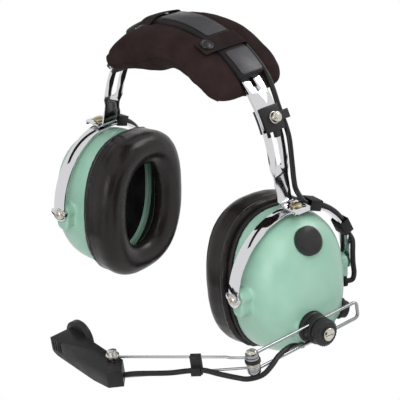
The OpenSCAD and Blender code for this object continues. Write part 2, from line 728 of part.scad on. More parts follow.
// Black plate that the seal snaps on
module seal_plate(s) {
    from = -rim_in - 0.03 - plate_t;
    color([0.10, 0.10, 0.11]) cup_side(s) difference() {
        oval_prism(dome_a + 1.2, dome_b + 1.2, from, from + plate_t);
        oval_prism(dome_a - plate_in, dome_b - plate_in, from - 1, from + plate_t + 1);
    }
}

module seal_plate_left() { seal_plate(1); }
module seal_plate_right() { seal_plate(-1); }

// Section of a seal: share of the way from hole to rim, share of its depth
seal_section = [[0.70, 0], [0.95, 0], [0.985, 0.05], [0.965, 0.13], [0.96, 0.22], [0.98, 0.36],
    [1, 0.52], [0.99, 0.66], [0.94, 0.78], [0.86, 0.88], [0.74, 0.96], [0.58, 1], [0.40, 0.99],
    [0.22, 0.93], [0.07, 0.82], [0, 0.68], [0.04, 0.52], [0.18, 0.36], [0.38, 0.20], [0.58, 0.08]];

// Soft ring round the ear: base, drawn-in side, crowned face, hole that widens behind the ear
module ear_seal(s) {
    rim = oval(dome_a + seal_over, dome_b + 4, seal_n, 0, 36);
    hole = oval(seal_hole_a, seal_hole_b, seal_n, -0.5, 36);
    base = -rim_in - plate_t - 0.15;
    color([0.08, 0.08, 0.09]) cup_side(s) loft([for (i = [0:35]) [for (q = seal_section)
        let (p = hole[i] + q[0]*(rim[i] - hole[i])) [base - q[1]*seal_depth, p[0], p[1]]]], true);
}

module ear_seal_left() { ear_seal(1); }
module ear_seal_right() { ear_seal(-1); }

// Foam behind the dome's lip
module foam_liner(s) {
    inner = dome_wall + lip_w - 1.6;
    color([0.05, 0.05, 0.06]) cup_side(s)
        oval_prism(dome_a - inner, dome_b - inner, lip_t - rim_in + 0.05, lip_t - rim_in + 1.7);
}

module foam_liner_left() { foam_liner(1); }
module foam_liner_right() { foam_liner(-1); }

module earphone(s) {
    color([0.25, 0.25, 0.27]) cup_side(s) translate([phone_from, 0, phone_z]) rotate([0, 90, 0])
        rotate_extrude() polygon([[0, 0.8], [15, 0.8], [17, 0], [19, 0], [19, 4], [14, 6], [12, 11], [0, 11]]);
}

module earphone_left() { earphone(1); }
module earphone_right() { earphone(-1); }

module cord_grommet(s) {
    color([0.06, 0.06, 0.07]) cup_side(s) grommet_place() difference() {
        union() {
            translate([0, 0, -3]) cylinder(h = 5, r = grommet_r - 0.9);
            translate([0, 0, 1.6]) cylinder(h = 2.4, r = grommet_r);
        }
        translate([0, 0, 1]) cylinder(h = 4, r = cord_r + fit);
    }
}

module cord_grommet_left() { cord_grommet(1); }
module cord_grommet_right() { cord_grommet(-1); }

// Bushing of the main cord, with its open bore
module cord_gland() {
    color([0.06, 0.06, 0.07]) cup_side(1) gland_place() difference() {
        union() {
            translate([0, 0, -7]) cylinder(h = 8, r = gland_r);
            translate([0, 0, 0.55]) cylinder(h = 2.4, r = gland_r + 1.4);
            translate([0, 0, 2.95]) cylinder(h = 4, r1 = gland_r + 0.6, r2 = gland_r - 0.4);
        }
        translate([0, 0, -8]) cylinder(h = 20, r = inlet_r);
    }
}

// ---- volume control ---------------------------------------------------------

module volume_pot() {
    color([0.55, 0.56, 0.58]) cup_side(1) volume_at() {
        translate([0, 0, -11]) cylinder(h = 5.9, r = 7.5);
        translate([0, 0, -6]) cylinder(h = 6.3, r = 3.5);
        cylinder(h = knob_h - 1, r = 3);
    }
}

module volume_knob() {
    rib = 0.35;
    edge = [for (i = [0:2*knob_ribs - 1]) let (t = 180*i/knob_ribs, r = knob_r - rib*(i%2))
        [r*cos(t), r*sin(t)]];
    color([0.13, 0.13, 0.14]) cup_side(1) volume_at() difference() {
        union() {
            translate([0, 0, 0.5]) linear_extrude(knob_h - 1.3) polygon(edge);
            translate([0, 0, knob_h - 0.8]) cylinder(h = 0.8, r1 = knob_r - rib - 0.1, r2 = knob_r - 1.6);
        }
        translate([0, 0, 0.4]) cylinder(h = knob_h - 1.3, r = 3 + fit);
    }
}

// ---- boom mount ---------------------------------------------------------------

module boom_base() {
    color([0.08, 0.08, 0.09]) cup_side(1) boom_axis() translate([0, 0, seat_o + 0.02]) difference() {
        union() {
            cylinder(h = base_t - 1.02, r = base_r);
            translate([0, 0, base_t - 1.02]) cylinder(h = 1, r1 = base_r, r2 = base_r - 1);
        }
        translate([0, 0, -1]) cylinder(h = 8, r = stud_r + fit);
    }
}

// Screw through the whole mount, with its nut inside the dome
module boom_stud() {
    inner = seat_o - 9.05;
    color([0.72, 0.71, 0.69]) cup_side(1) boom_axis() difference() {
        union() {
            translate([0, 0, inner - 3]) cylinder(h = 3, r = 4.4);
            translate([0, 0, inner - 0.1]) cylinder(h = stud_head - inner + 0.2, r = stud_r);
            translate([0, 0, stud_head]) cylinder(h = 2, r = 4.3);
            translate([0, 0, stud_head + 2]) cylinder(h = 1, r1 = 4.3, r2 = 3);
        }
        translate([0, 0, stud_head + 3]) cube([0.9, 10, 1.8], center = true);
    }
}

module boom_hub() {
    color([0.08, 0.08, 0.09]) boom_place() difference() {
        union() {
            translate([-hub_t/2, 0, 0]) rotate([0, 90, 0]) cylinder(h = hub_t - 0.8, r = hub_r);
            translate([hub_t/2 - 0.8, 0, 0]) rotate([0, 90, 0]) cylinder(h = 0.8, r1 = hub_r, r2 = hub_r - 0.8);
        }
        rotate([0, 90, 0]) cylinder(h = 12, r = stud_r + fit, center = true);
        for (z = [-1, 1]) translate([0, 0, z*wire_gap/2]) rotate([90, 0, 0])
            cylinder(h = 30, r = wire_r + fit, center = true);
    }
}

module boom_knob() {
    ribs = 28;
    edge = [for (i = [0:2*ribs - 1]) let (t = 180*i/ribs, r = lock_r - 0.4*(i%2)) [r*cos(t), r*sin(t)]];
    color([0.08, 0.08, 0.09]) cup_side(1) boom_axis() translate([0, 0, lock_from]) difference() {
        union() {
            cylinder(h = 1, r = lock_r - 1);
            translate([0, 0, 0.9]) linear_extrude(lock_t - 1.9) polygon(edge);
            translate([0, 0, lock_t - 1]) cylinder(h = 1, r1 = lock_r - 0.5, r2 = lock_r - 1.6);
        }
        translate([0, 0, -1]) cylinder(h = 9, r = stud_r + fit);
    }
}

// ---- boom ---------------------------------------------------------------------

// Inner wire: two runs, closed behind the mount, ending in eyes on the knuckle's post
module boom_loop() {
    rear = loop_back - bend_r;
    half = wire_gap/2;
    color([0.75, 0.75, 0.77]) boom_place() difference() {
        union() {
            for (z = [-1, 1]) {
                wire([0, rear, z*half], [0, 2.6 - knuckle_reach, z*half], wire_r);
                translate([0, -knuckle_reach, z*half]) cylinder(h = 2*wire_r - 0.3, r = eye_r, center = true);
            }
            wire([0, loop_back, bend_r - half], [0, loop_back, half - bend_r], wire_r);
            for (a = [0, 270]) translate([0, rear, (a == 0 ? 1 : -1)*(half - bend_r)])
                rotate([90, 0, 90]) rotate([0, 0, a]) rotate_extrude(angle = 90)
                    translate([bend_r, 0]) circle(r = wire_r);
        }
        translate([0, -knuckle_reach, 0]) cylinder(h = 30, r = post_r + fit, center = true);
    }
}

module knuckle_post() {
    top = eye_z + wire_r + 0.03;
    color([0.70, 0.70, 0.72]) knuckle_place() difference() {
        union() {
            cylinder(h = 2*top + 0.2, r = post_r, center = true);
            translate([0, 0, top]) cylinder(h = 1.5, r = 3.4);
            translate([0, 0, top + 1.5]) cylinder(h = 0.7, r1 = 3.4, r2 = 2.4);
            translate([0, 0, -top - 2.2]) cylinder(h = 2.2, r = 3.2);
        }
        translate([0, 0, top + 2]) cube([8, 0.8, 1.4], center = true);
    }
}

module washer(z, t, r) {
    translate([0, 0, z]) difference() {
        cylinder(h = t, r = r);
        translate([0, 0, -1]) cylinder(h = t + 2, r = post_r + fit);
    }
}

ring_top = collar_z - outer_wire_r - slip;
ring_mid = 0.4;
module friction_ring() {
    color([0.06, 0.06, 0.07]) outer_place() washer(ring_mid + 0.03, ring_top - ring_mid + 0.05, 5.1);
}

// Three spring washers under the ring
module knuckle_washers() {
    low = lower_z + outer_wire_r + 0.03;
    t = (ring_mid - low)/3;
    color([0.75, 0.75, 0.77]) outer_place() difference() {
        union() {
            for (i = [0:2]) translate([0, 0, low + i*t]) cylinder(h = t*0.7, r = 4.4);
            translate([0, 0, low]) cylinder(h = ring_mid - low, r = 3.6);
        }
        translate([0, 0, -9]) cylinder(h = 18, r = post_r + fit);
    }
}

// Runs of the outer wires: from the post to the microphone's bolt
kink_y = -14;
function upper_run() = [[0, -2.8, collar_z], [0, kink_y, collar_z + 0.4],
    [0, kink_y - 3, collar_z + 1.1], [0, 2.6 - outer_len, mic_eye_z]];
function lower_run() = [[0, -2.8, lower_z], [0, 2.6 - outer_len, -mic_eye_z]];

// One outer wire with an eye at each end, bent round both bolts
module outer_wire(run) {
    n = len(run) - 1;
    difference() {
        union() {
            for (i = [0:n - 1]) let (lap = i < n - 1 ? 0.3 : 0)
                wire(run[i], run[i + 1] + lap*unit(run[i + 1] - run[i]), outer_wire_r);
            translate([0, 0, run[0].z]) cylinder(h = 2*outer_wire_r - 0.2, r = 4.5, center = true);
            translate([0, -outer_len, run[n].z]) cylinder(h = 2*outer_wire_r - 0.2, r = 3.8, center = true);
        }
        cylinder(h = 30, r = post_r + fit, center = true);
        translate([0, -outer_len, 0]) cylinder(h = 40, r = mic_bolt_r + fit, center = true);
    }
}

module boom_wires() {
    color([0.75, 0.75, 0.77]) outer_place() {
        outer_wire(upper_run());
        outer_wire(lower_run());
    }
}

clip_y = -36.4;                          // middle of the clip along the outer boom
clip_x = 3;                              // cord beside the wires, in the clip
clip_cord_z = -2.8;
module boom_clip() {
    color([0.07, 0.07, 0.08]) outer_place() difference() {
        union() {
            translate([-2, clip_y - 3.4, -6.6]) cube([4.2, 6.8, 13.4]);
            translate([0, clip_y - 3.2, clip_cord_z - 2.7]) cube([clip_x + 2.7, 6.4, 5.4]);
        }
        wire(upper_run()[2], upper_run()[3], outer_wire_r + fit);
        wire(lower_run()[0], lower_run()[1], outer_wire_r + fit);
        translate([clip_x, clip_y, clip_cord_z]) rotate([90, 0, 0]) cylinder(h = 20, r = cord_r + 0.3, center = true);
    }
}

// ---- microphone ---------------------------------------------------------------

// Outline with rounded corners, from one corner to the other
module round_rect(x0, y0, x1, y1, r) {
    for (x = [x0 + r, x1 - r], y = [y0 + r, y1 - r]) translate([x, y]) circle(r = r);
    translate([x0 + r, y0]) square([x1 - x0 - 2*r, y1 - y0]);
    translate([x0, y0 + r]) square([x1 - x0, y1 - y0 - 2*r]);
}

far_y = mic_tail - mic_len;
far_mid = (mic_len - mic_tail)*sin(mic_rise);
function top_at(y) = mic_near_h/2 + (y > -6 ? 0 : (-6 - y)/(-6 - far_y)*(far_mid + mic_far_h/2 - mic_near_h/2));
function low_at(y) = -mic_near_h/2 + (y > -6 ? 0 : (-6 - y)/(-6 - far_y)*(far_mid - mic_far_h/2 + mic_near_h/2));

// Housing: a low box at the bolt that grows towards its round element
module mic_housing() {
    profile = [[mic_tail + 8, low_at(0)], [mic_tail + 8, top_at(0)], [-6, top_at(0)],
        [far_y + 3, top_at(far_y + 3)], [far_y, top_at(far_y) - 3], [far_y, low_at(far_y) + 6],
        [far_y + 1.6, low_at(far_y) + 2.6], [far_y + 4.4, low_at(far_y) + 0.4], [far_y + 8, low_at(far_y + 8)],
        [-6, low_at(0)]];
    color([0.12, 0.12, 0.13]) mic_place() difference() {
        intersection() {
            translate([0, 0, -30]) linear_extrude(80) union() {
                round_rect(-mic_edge, far_y, mic_d - mic_edge, 2, 4);
                polygon([[mic_d - mic_edge, -4], [mic_d - mic_edge, mic_tail], [6, mic_tail + 6.5],
                    [-mic_edge, mic_tail - 4.5], [-mic_edge, -4]]);
            }
            translate([-15, 0, 0]) rotate([90, 0, 90]) linear_extrude(40) polygon(profile);
        }
        cylinder(h = 60, r = mic_bolt_r + fit, center = true);
        for (i = [0:3]) translate([mic_d - mic_edge - 1, far_y + 5 + 2.6*i, far_mid - 3]) cube([3, 1.2, 7]);
        cord_entry() translate([0, 0, -4]) cylinder(h = 8, r = cord_r + 0.1);
    }
}

// Where the cord enters the housing's slanted near end: Z points out
module cord_entry() {
    translate([1.2, mic_tail + 1, cord_in_z]) rotate([0, 0, 48.9]) rotate([-90, 0, 0]) children();
}

module mic_element() {
    color([0.10, 0.10, 0.11]) mic_place() translate([-mic_edge - 0.02, -element_at, element_z])
        rotate([0, -90, 0]) difference() {
            union() {
                cylinder(h = element_t - 1.2, r = element_r);
                translate([0, 0, element_t - 1.2]) cylinder(h = 1.2, r1 = element_r, r2 = element_r - 1.2);
            }
            translate([0, 0, element_t - 1]) cylinder(h = 2, r = element_r - 3.4);
        }
}

module mic_bolt() {
    top = mic_eye_z + outer_wire_r + 0.05;
    color([0.75, 0.74, 0.72]) mic_place() {
        cylinder(h = 2*top + 0.2, r = mic_bolt_r, center = true);
        translate([0, 0, top]) cylinder(h = 1, r = 4.4);
        translate([0, 0, top + 1]) cylinder(h = 2.6, r = 3.2);
        translate([0, 0, -top - 2.4]) cylinder(h = 2.4, r = 3.4);
    }
}

// ---- cords --------------------------------------------------------------------

// Over the head, beside the sleeve, from clamp to clamp
module cord_bridge() {
    half = [[clamp_at - 0.5, -0.6, hook_cord], [clamp_at + 5, -0.6, hook_cord + 0.2], [clamp_at + 12, 0, 12],
        [clamp_at + 20, 1, cord_y], [62, 1.4, cord_y], [76, 1.4, cord_y]];
    route = concat([for (p = half) over_bow(p[0], bow_r + p[1], p[2])],
        [for (i = [5:-1:0]) over_bow(180 - half[i][0], bow_r + half[i][1], half[i][2])]);
    cord(route, 3, [0, 1, 0]);
}

arm_r = yoke_r + cord_r + 0.2;           // cord on a stirrup's arm
module cord_strap(s) {
    route = [over_bow(clamp_at - 1.5, bow_r - 0.6, hook_cord), over_bow(25, bow_r - 0.2, hook_cord + 0.2),
        over_bow(19, bow_r + 1.4, 10.4), over_bow(8, bow_r + 1.6, 9.4), [strap_r + 3.8, 8.9, bow_z + 1],
        [strap_r + 5, 10, bow_z - 6], on_arm(79.5, arm_r + 0.8, 0.6, s)];
    side(s) cord(route, 3, [0, 1, 0]);
}

module cord_strap_left() { cord_strap(1); }
module cord_strap_right() { cord_strap(-1); }

module cord_stirrup(s) {
    route = [on_arm(76.6, arm_r + 0.3, 0.9, s), on_arm(66, arm_r + 0.1, 1.2, s), on_arm(50, arm_r, 1.6, s),
        on_arm(36, arm_r + 0.1, 2, s), on_arm(22, arm_r + 0.1, 2.6, s)];
    side(s) cord(route, 2, [1, 0, 0]);
}

module cord_stirrup_left() { cord_stirrup(1); }
module cord_stirrup_right() { cord_stirrup(-1); }

// Rubber sleeves that hold the cord on the stirrup's arm, near each end
module cord_ties(s) {
    color([0.06, 0.06, 0.07]) side(s) stirrup_place(s) for (t = [[71, 5], [28.5, 5.5]])
        translate([0, 0, yoke_lift]) rotate([t[0], 0, 0]) difference() {
            translate([-yoke_w/2 - 0.6, yoke_in - 1, -t[1]]) cube([yoke_w + 1.2, arm_r + cord_r + 2 - yoke_in, 2*t[1]]);
            rotate([90, 0, 90]) translate([0, 0, -yoke_w/2 - 0.1])
                rotate([0, 0, -12]) rotate_extrude(angle = 24, $fn = 96)
                    translate([yoke_in - 0.15, 0]) square([yoke_t + 0.3, yoke_w + 0.2]);
            translate([-3, yoke_r - 0.8, -8]) cube([8, 2*cord_r + 1.3, 16]);
        }
}

module cord_ties_left() { cord_ties(1); }
module cord_ties_right() { cord_ties(-1); }

// From the stirrup's arm round the pivot boss into the dome
module cord_cup(s) {
    route = [[3.8, 0.2 + arm_r*cos(19.2), yoke_lift + arm_r*sin(19.2)], [6.4, 48, 15.8], [8.2, 46.9, 12.4], [9.8, 45.2, 8],
        [11.4, 43.8, 2], [12.6, 43.4, -5], [12.2, 42.1, -9.3], [10.7, dome_a*0.93 + 3.9, -10]];
    cup_side(s) cord(route, 3, [1, 0, 0]);
}

module cord_cup_left() { cord_cup(1); }
module cord_cup_right() { cord_cup(-1); }

// From the dome's lower grommet, beside the inner boom, to the knuckle
module mic_cord_inner() {
    reach = knuckle_reach*cos(boom_pitch);
    drop = knuckle_reach*sin(boom_pitch);
    fore = -boom_fore - reach;
    route = [mic_exit + [-2, 0, 1.4], mic_exit + [3, -0.6, -2.1], mic_exit + [7.6, -4.5, -2.4],
        [wire_o - 5.3, -boom_fore - 18, -boom_down - 8.6], [wire_o - 5, fore + 16, -boom_down - drop - 6],
        [wire_o - 4.9, fore + 8, -boom_down - drop - 9.6], [wire_o - 4.9, fore + 2, -boom_down - drop - 10.6]];
    cup_side(1) cord(route, 3, [0, 0.2, 1]);
}

// Along the outer boom, through the clip, to the microphone
module mic_cord_outer() {
    function at_mic(d) = let (x = 1.2 - 0.753*d, y = mic_tail + 1 + 0.657*d)
        [x*cos(mic_turn) + y*sin(mic_turn), y*cos(mic_turn) - x*sin(mic_turn) - outer_len, cord_in_z];
    route = [[-3.2, -5.4, -10.6], [-0.6, -12, -9.8], [2.8, -22, -6.6], [clip_x, clip_y + 5, clip_cord_z],
        [clip_x, clip_y - 5, clip_cord_z], [4.4, clip_y - 18, clip_cord_z - 0.3], at_mic(8), at_mic(0.3)];
    outer_place() cord(route, 3, [0, 0, 1]);
}

// ---- output -------------------------------------------------------------------

headband_spring();
headpad();
pad_sleeve();
pad_tabs();
pad_snaps();
clamp_block_left();
clamp_block_right();
clamp_plates();
clamp_bolts();
clamp_nuts();
cord_bridge();
strap_left();
strap_right();
swivel_rivet_left();
swivel_rivet_right();
swivel_washer_left();
swivel_washer_right();
cord_strap_left();
cord_strap_right();
stirrup_left();
stirrup_right();
pivot_screws_left();
pivot_screws_right();
cord_ties_left();
cord_ties_right();
cord_stirrup_left();
cord_stirrup_right();
dome_left();
dome_right();
seal_plate_left();
seal_plate_right();
ear_seal_left();
ear_seal_right();
foam_liner_left();
foam_liner_right();
earphone_left();
earphone_right();
cord_grommet_left();
cord_grommet_right();
cord_cup_left();
cord_cup_right();
volume_pot();
volume_knob();
cord_gland();
boom_base();
boom_stud();
boom_hub();
boom_knob();
boom_loop();
knuckle_post();
knuckle_washers();
boom_wires();
friction_ring();
boom_clip();
mic_cord_inner();
mic_cord_outer();
mic_housing();
mic_element();
mic_bolt();
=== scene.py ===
import json
import math
import bpy
from mathutils import Vector, Matrix, noise
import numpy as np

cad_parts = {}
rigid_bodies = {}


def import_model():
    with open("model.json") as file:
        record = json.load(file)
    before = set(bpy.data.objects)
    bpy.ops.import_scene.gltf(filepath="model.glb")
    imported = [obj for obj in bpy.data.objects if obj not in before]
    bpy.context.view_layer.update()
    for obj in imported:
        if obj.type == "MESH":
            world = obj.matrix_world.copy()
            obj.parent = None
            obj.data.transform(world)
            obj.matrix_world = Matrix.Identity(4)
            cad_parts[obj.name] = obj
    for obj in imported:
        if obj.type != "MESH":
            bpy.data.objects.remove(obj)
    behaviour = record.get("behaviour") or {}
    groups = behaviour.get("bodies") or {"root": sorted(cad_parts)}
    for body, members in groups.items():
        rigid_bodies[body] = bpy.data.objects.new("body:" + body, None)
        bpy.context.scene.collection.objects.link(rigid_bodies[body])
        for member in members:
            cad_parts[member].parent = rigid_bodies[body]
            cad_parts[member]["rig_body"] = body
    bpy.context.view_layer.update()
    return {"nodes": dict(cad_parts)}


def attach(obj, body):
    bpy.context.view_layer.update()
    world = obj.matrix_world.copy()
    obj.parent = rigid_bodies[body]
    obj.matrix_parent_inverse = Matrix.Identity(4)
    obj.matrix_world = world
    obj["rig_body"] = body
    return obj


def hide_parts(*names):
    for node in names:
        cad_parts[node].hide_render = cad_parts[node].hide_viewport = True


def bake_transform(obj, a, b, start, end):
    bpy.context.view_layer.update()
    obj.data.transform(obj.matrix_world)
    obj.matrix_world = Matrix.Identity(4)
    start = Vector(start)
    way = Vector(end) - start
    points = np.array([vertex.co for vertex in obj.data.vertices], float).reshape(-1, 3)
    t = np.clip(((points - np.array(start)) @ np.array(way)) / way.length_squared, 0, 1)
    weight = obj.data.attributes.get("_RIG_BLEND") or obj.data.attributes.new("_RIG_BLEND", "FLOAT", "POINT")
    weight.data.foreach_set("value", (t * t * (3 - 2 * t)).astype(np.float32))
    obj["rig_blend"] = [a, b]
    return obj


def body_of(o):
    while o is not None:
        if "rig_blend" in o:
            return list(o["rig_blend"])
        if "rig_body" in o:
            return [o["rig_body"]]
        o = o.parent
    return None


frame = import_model()
nodes = frame["nodes"]

mm = 0.001
sideName = {1: "left", -1: "right"}

# sizes that several pieces share, in millimetres and degrees, as in the part's source
bow = {"centre": -62.0, "radius": 83.0, "strapRadius": 81.5}
hang = {"pivotDrop": 126.5, "rivetX": 96.0, "rivetOff": 3.5,
        "toeIn": {1: 5.0, -1: 9.0}, "lean": {1: 5.5, -1: 0.0}}
stirrup = {"radius": 48.0, "lift": 3.0, "halfThick": 1.4}
shell = {"halfWidth": 37.5, "halfHeight": 48.0, "depth": 40.0, "middle": -1.0, "rimIn": 14.0,
         "curve": 3.0, "plan": 2.4}


def toLinear(code):  # sRGB hex to linear colour
    parts = [int(code[i:i + 2], 16) / 255 for i in (0, 2, 4)]
    return [c / 12.92 if c <= 0.04045 else ((c + 0.055) / 1.055) ** 2.4 for c in parts] + [1.0]


def addNode(owner, kind, inputs=None, **settings):  # a node with its settings and links
    node = owner.node_tree.nodes.new(kind)
    for key, value in settings.items():
        setattr(node, key, value)
    for key, value in (inputs or {}).items():
        if isinstance(value, bpy.types.NodeSocket):
            owner.node_tree.links.new(value, node.inputs[key])
        else:
            node.inputs[key].default_value = value
    return node


def newFinish(name, inputs):  # a material with its shader's plain settings
    finish = bpy.data.materials.new(name)
    finish.use_nodes = True
    shader = finish.node_tree.nodes["Principled BSDF"]
    for key, value in inputs.items():
        shader.inputs[key].default_value = value
    return finish, shader


# what finishes have in common: size of colour and roughness marks in millimetres, strength of the grain
marks = {"toneSize": 14.0, "toneSpread": 0.2, "plasticRoughSize": 9.0, "metalRoughSize": 6.0,
         "roughSpread": (0.3, 0.7), "plasticGrain": 0.5, "metalGrain": 0.25}


def marksField(finish, coords, size, detail):  # noise whose marks are that many millimetres
    return addNode(finish, "ShaderNodeTexNoise", {"Vector": coords, "Scale": 1.0 / (size * mm),
                                                  "Detail": detail}).outputs["Fac"]


def mottle(finish, shader, coords, tones):  # two tones that run into each other
    field = marksField(finish, coords, marks["toneSize"], 3.0)
    blend = addNode(finish, "ShaderNodeValToRGB", {"Fac": field})
    for element, tone, aside in zip(blend.color_ramp.elements, tones, (-1, 1)):
        element.position = 0.5 + aside * marks["toneSpread"]
        element.color = toLinear(tone)
    finish.node_tree.links.new(blend.outputs["Color"], shader.inputs["Base Color"])


def wander(finish, shader, coords, rough, size):  # roughness that wanders between two values
    least, most = marks["roughSpread"]
    span = addNode(finish, "ShaderNodeMapRange", {"Value": marksField(finish, coords, size, 4.0),
                                                  "From Min": least, "From Max": most,
                                                  "To Min": rough[0], "To Max": rough[1]})
    finish.node_tree.links.new(span.outputs["Result"], shader.inputs["Roughness"])


def relief(finish, shader, height, strength, depth):  # bump of that many millimetres
    bump = addNode(finish, "ShaderNodeBump", {"Height": height, "Strength": strength, "Distance": depth * mm})
    finish.node_tree.links.new(bump.outputs["Normal"], shader.inputs["Normal"])


def metalFinish(look):
    finish, shader = newFinish(look["name"], {"Metallic": 1.0, "Base Color": toLinear(look["tone"])})
    coords = addNode(finish, "ShaderNodeTexCoord").outputs["Object"]
    wander(finish, shader, coords, look["rough"], marks["metalRoughSize"])
    field = marksField(finish, coords, look["grain"], 2.0)
    relief(finish, shader, field, marks["metalGrain"], look["depth"])
    return finish


def plasticFinish(look):
    finish, shader = newFinish(look["name"], look["shader"])
    coords = addNode(finish, "ShaderNodeTexCoord").outputs["Object"]
    mottle(finish, shader, coords, look["tones"])
    wander(finish, shader, coords, look["rough"], marks["plasticRoughSize"])
    field = marksField(finish, coords, look["grain"], 3.0)
    relief(finish, shader, field, marks["plasticGrain"], look["depth"])
    return finish


def sheen(amount):
    return {"Specular IOR Level": amount}


# tones are sRGB, rough is the least and the most, grain and depth are millimetres
chromedSteel = metalFinish({"name": "chromedSpringSteel", "tone": "D2D2D5", "rough": (0.03, 0.07),
                            "grain": 2.5, "depth": 0.003})  # plated strip: near mirror, faint waves
nickelSteel = metalFinish({"name": "nickelPlatedSteel", "tone": "C9C5BC", "rough": (0.16, 0.28),
                           "grain": 0.6, "depth": 0.01})  # turned and plated: warm, soft gloss
rivetBrass = metalFinish({"name": "dulledRivetBrass", "tone": "A89C7C", "rough": (0.24, 0.36),
                          "grain": 0.6, "depth": 0.01})
boomSteel = metalFinish({"name": "drawnStainlessWire", "tone": "9A9B9E", "rough": (0.12, 0.22),
                         "grain": 0.6, "depth": 0.01})
darkSteel = metalFinish({"name": "blackenedSteel", "tone": "3A3A3C", "rough": (0.3, 0.45),
                         "grain": 0.6, "depth": 0.01})
domeShell = plasticFinish({"name": "glossMouldedAbs", "tones": ("84AC98", "8DB3A0"), "rough": (0.28, 0.36),
                           "grain": 2.2, "depth": 0.004,
                           "shader": {"Coat Weight": 0.15, "Coat Roughness": 0.22, "IOR": 1.5}})
blackNylon = plasticFinish({"name": "mouldedBlackNylon", "tones": ("151313", "1D1B1B"), "rough": (0.34, 0.5),
                            "grain": 0.35, "depth": 0.02, "shader": sheen(0.3)})
knobPhenolic = plasticFinish({"name": "mouldedPhenolicKnob", "tones": ("191818", "222121"),
                              "rough": (0.32, 0.46), "grain": 0.3, "depth": 0.02, "shader": sheen(0.3)})
blackRubber = plasticFinish({"name": "blackRubber", "tones": ("121112", "1A1819"), "rough": (0.5, 0.65),
                             "grain": 0.3, "depth": 0.02, "shader": sheen(0.25)})
cordPvc = plasticFinish({"name": "extrudedPvcJacket", "tones": ("121012", "1A1819"), "rough": (0.3, 0.42),
                         "grain": 0.5, "depth": 0.012, "shader": sheen(0.3)})
sealVinyl = plasticFinish({"name": "softSealVinyl", "tones": ("151110", "1C1817"), "rough": (0.24, 0.34),
                           "grain": 0.8, "depth": 0.02, "shader": sheen(0.25)})
earFoam = plasticFinish({"name": "openCellFoam", "tones": ("121111", "222020"), "rough": (0.85, 0.95),
                         "grain": 1.0, "depth": 0.5, "shader": sheen(0.1)})
padCloth = plasticFinish({"name": "wovenPadCloth", "tones": ("241B1A", "2F2423"), "rough": (0.8, 0.92),
                          "grain": 0.7, "depth": 0.2, "shader": sheen(0.06)})
sleeveSkin = plasticFinish({"name": "supportedSleeveVinyl", "tones": ("1E1B1C", "282425"),
                            "rough": (0.5, 0.62), "grain": 0.6, "depth": 0.03, "shader": sheen(0.15)})
paneVinyl = plasticFinish({"name": "glossWindowVinyl", "tones": ("252528", "303034"), "rough": (0.3, 0.42),
                           "grain": 1.5, "depth": 0.02, "shader": sheen(0.4)})
tabWeb = plasticFinish({"name": "boundTabCloth", "tones": ("221B1A", "2A2321"), "rough": (0.75, 0.88),
                        "grain": 0.7, "depth": 0.1, "shader": sheen(0.06)})
print("finishes ready")


def turn(degrees, axis):
    return Matrix.Rotation(math.radians(degrees), 4, axis)


def at(spot, *turns):  # a place, then its turns as (degrees, axis)
    place = Matrix.Translation(spot)
    for degrees, axis in turns:
        place = place @ turn(degrees, axis)
    return place


def stirrupPlace(s):  # a stirrup's own frame, X outward and Y to the back
    mirror = Matrix.Scale(-1, 4, (1, 0, 0)) if s < 0 else Matrix.Identity(4)
    swivel = at((hang["rivetX"], 0, -hang["pivotDrop"]), (-hang["toeIn"][s], "Z"))
    return mirror @ swivel @ Matrix.Translation((-hang["rivetOff"], 0, 0))


def cupPlace(s):  # a cup leans in its stirrup about the two pivots
    return stirrupPlace(s) @ turn(-hang["lean"][s], "Y")


def select(obj):
    bpy.ops.object.select_all(action="DESELECT")
    obj.select_set(True)
    bpy.context.view_layer.objects.active = obj


def editAll(obj):  # edit mode with all of the mesh selected
    select(obj)
    bpy.ops.object.mode_set(mode="EDIT")
    bpy.ops.mesh.select_all(action="SELECT")


def applyModifiers(obj):
    select(obj)
    for modifier in list(obj.modifiers):
        bpy.ops.object.modifier_apply(modifier=modifier.name)


def refine(obj, levels):  # subdivision surface, applied
    finer = obj.modifiers.new("finer", "SUBSURF")
    finer.levels = finer.render_levels = levels
    applyModifiers(obj)


def outwardFace(obj):
    editAll(obj)
    bpy.ops.mesh.normals_make_consistent(inside=False)
    bpy.ops.object.mode_set(mode="OBJECT")


def settle(obj, place=None):  # bakes a piece's place, in millimetres, into its mesh
    obj.data.transform(Matrix.Scale(mm, 4) @ (place or Matrix.Identity(4)) @ obj.matrix_world)
    obj.matrix_world = Matrix.Identity(4)
    outwardFace(obj)


def dress(obj, finish, body, stands=(), smooth=35):
    obj.data.materials.clear()
    obj.data.materials.append(finish)
    select(obj)
    bpy.ops.object.shade_smooth_by_angle(angle=math.radians(smooth))
    if stands:
        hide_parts(*stands)
    if body:
        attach(obj, body)


mergeWithin = 1e-6  # metres
hardEdge = {"flatWithin": 0.4, "steps": 2, "over": 40}  # faces made one, segments of a bevel, edges it breaks


def copyOf(node, name, hard):  # copy of a CAD node's mesh, its loose triangles merged
    obj = bpy.data.objects.new(name, nodes[node].data.copy())
    bpy.context.scene.collection.objects.link(obj)
    editAll(obj)
    bpy.ops.mesh.remove_doubles(threshold=mergeWithin)
    if hard:
        bpy.ops.mesh.dissolve_limited(angle_limit=math.radians(hardEdge["flatWithin"]))
    else:
        bpy.ops.mesh.normals_make_consistent(inside=False)
    bpy.ops.object.mode_set(mode="OBJECT")
    return obj


def dressCopy(spec, side):  # hard piece: its CAD node with broken edges
    node = spec["node"] + ("_" + side if side else "")
    obj = copyOf(node, side + spec["name"], True)
    bevel = obj.modifiers.new("edges", "BEVEL")
    bevel.width = spec["edge"] * mm
    bevel.segments = hardEdge["steps"]
    bevel.limit_method = "ANGLE"
    bevel.angle_limit = math.radians(hardEdge["over"])
    bevel.use_clamp_overlap = True
    applyModifiers(obj)
    dress(obj, spec["finish"], body_of(nodes[node])[0], [node])


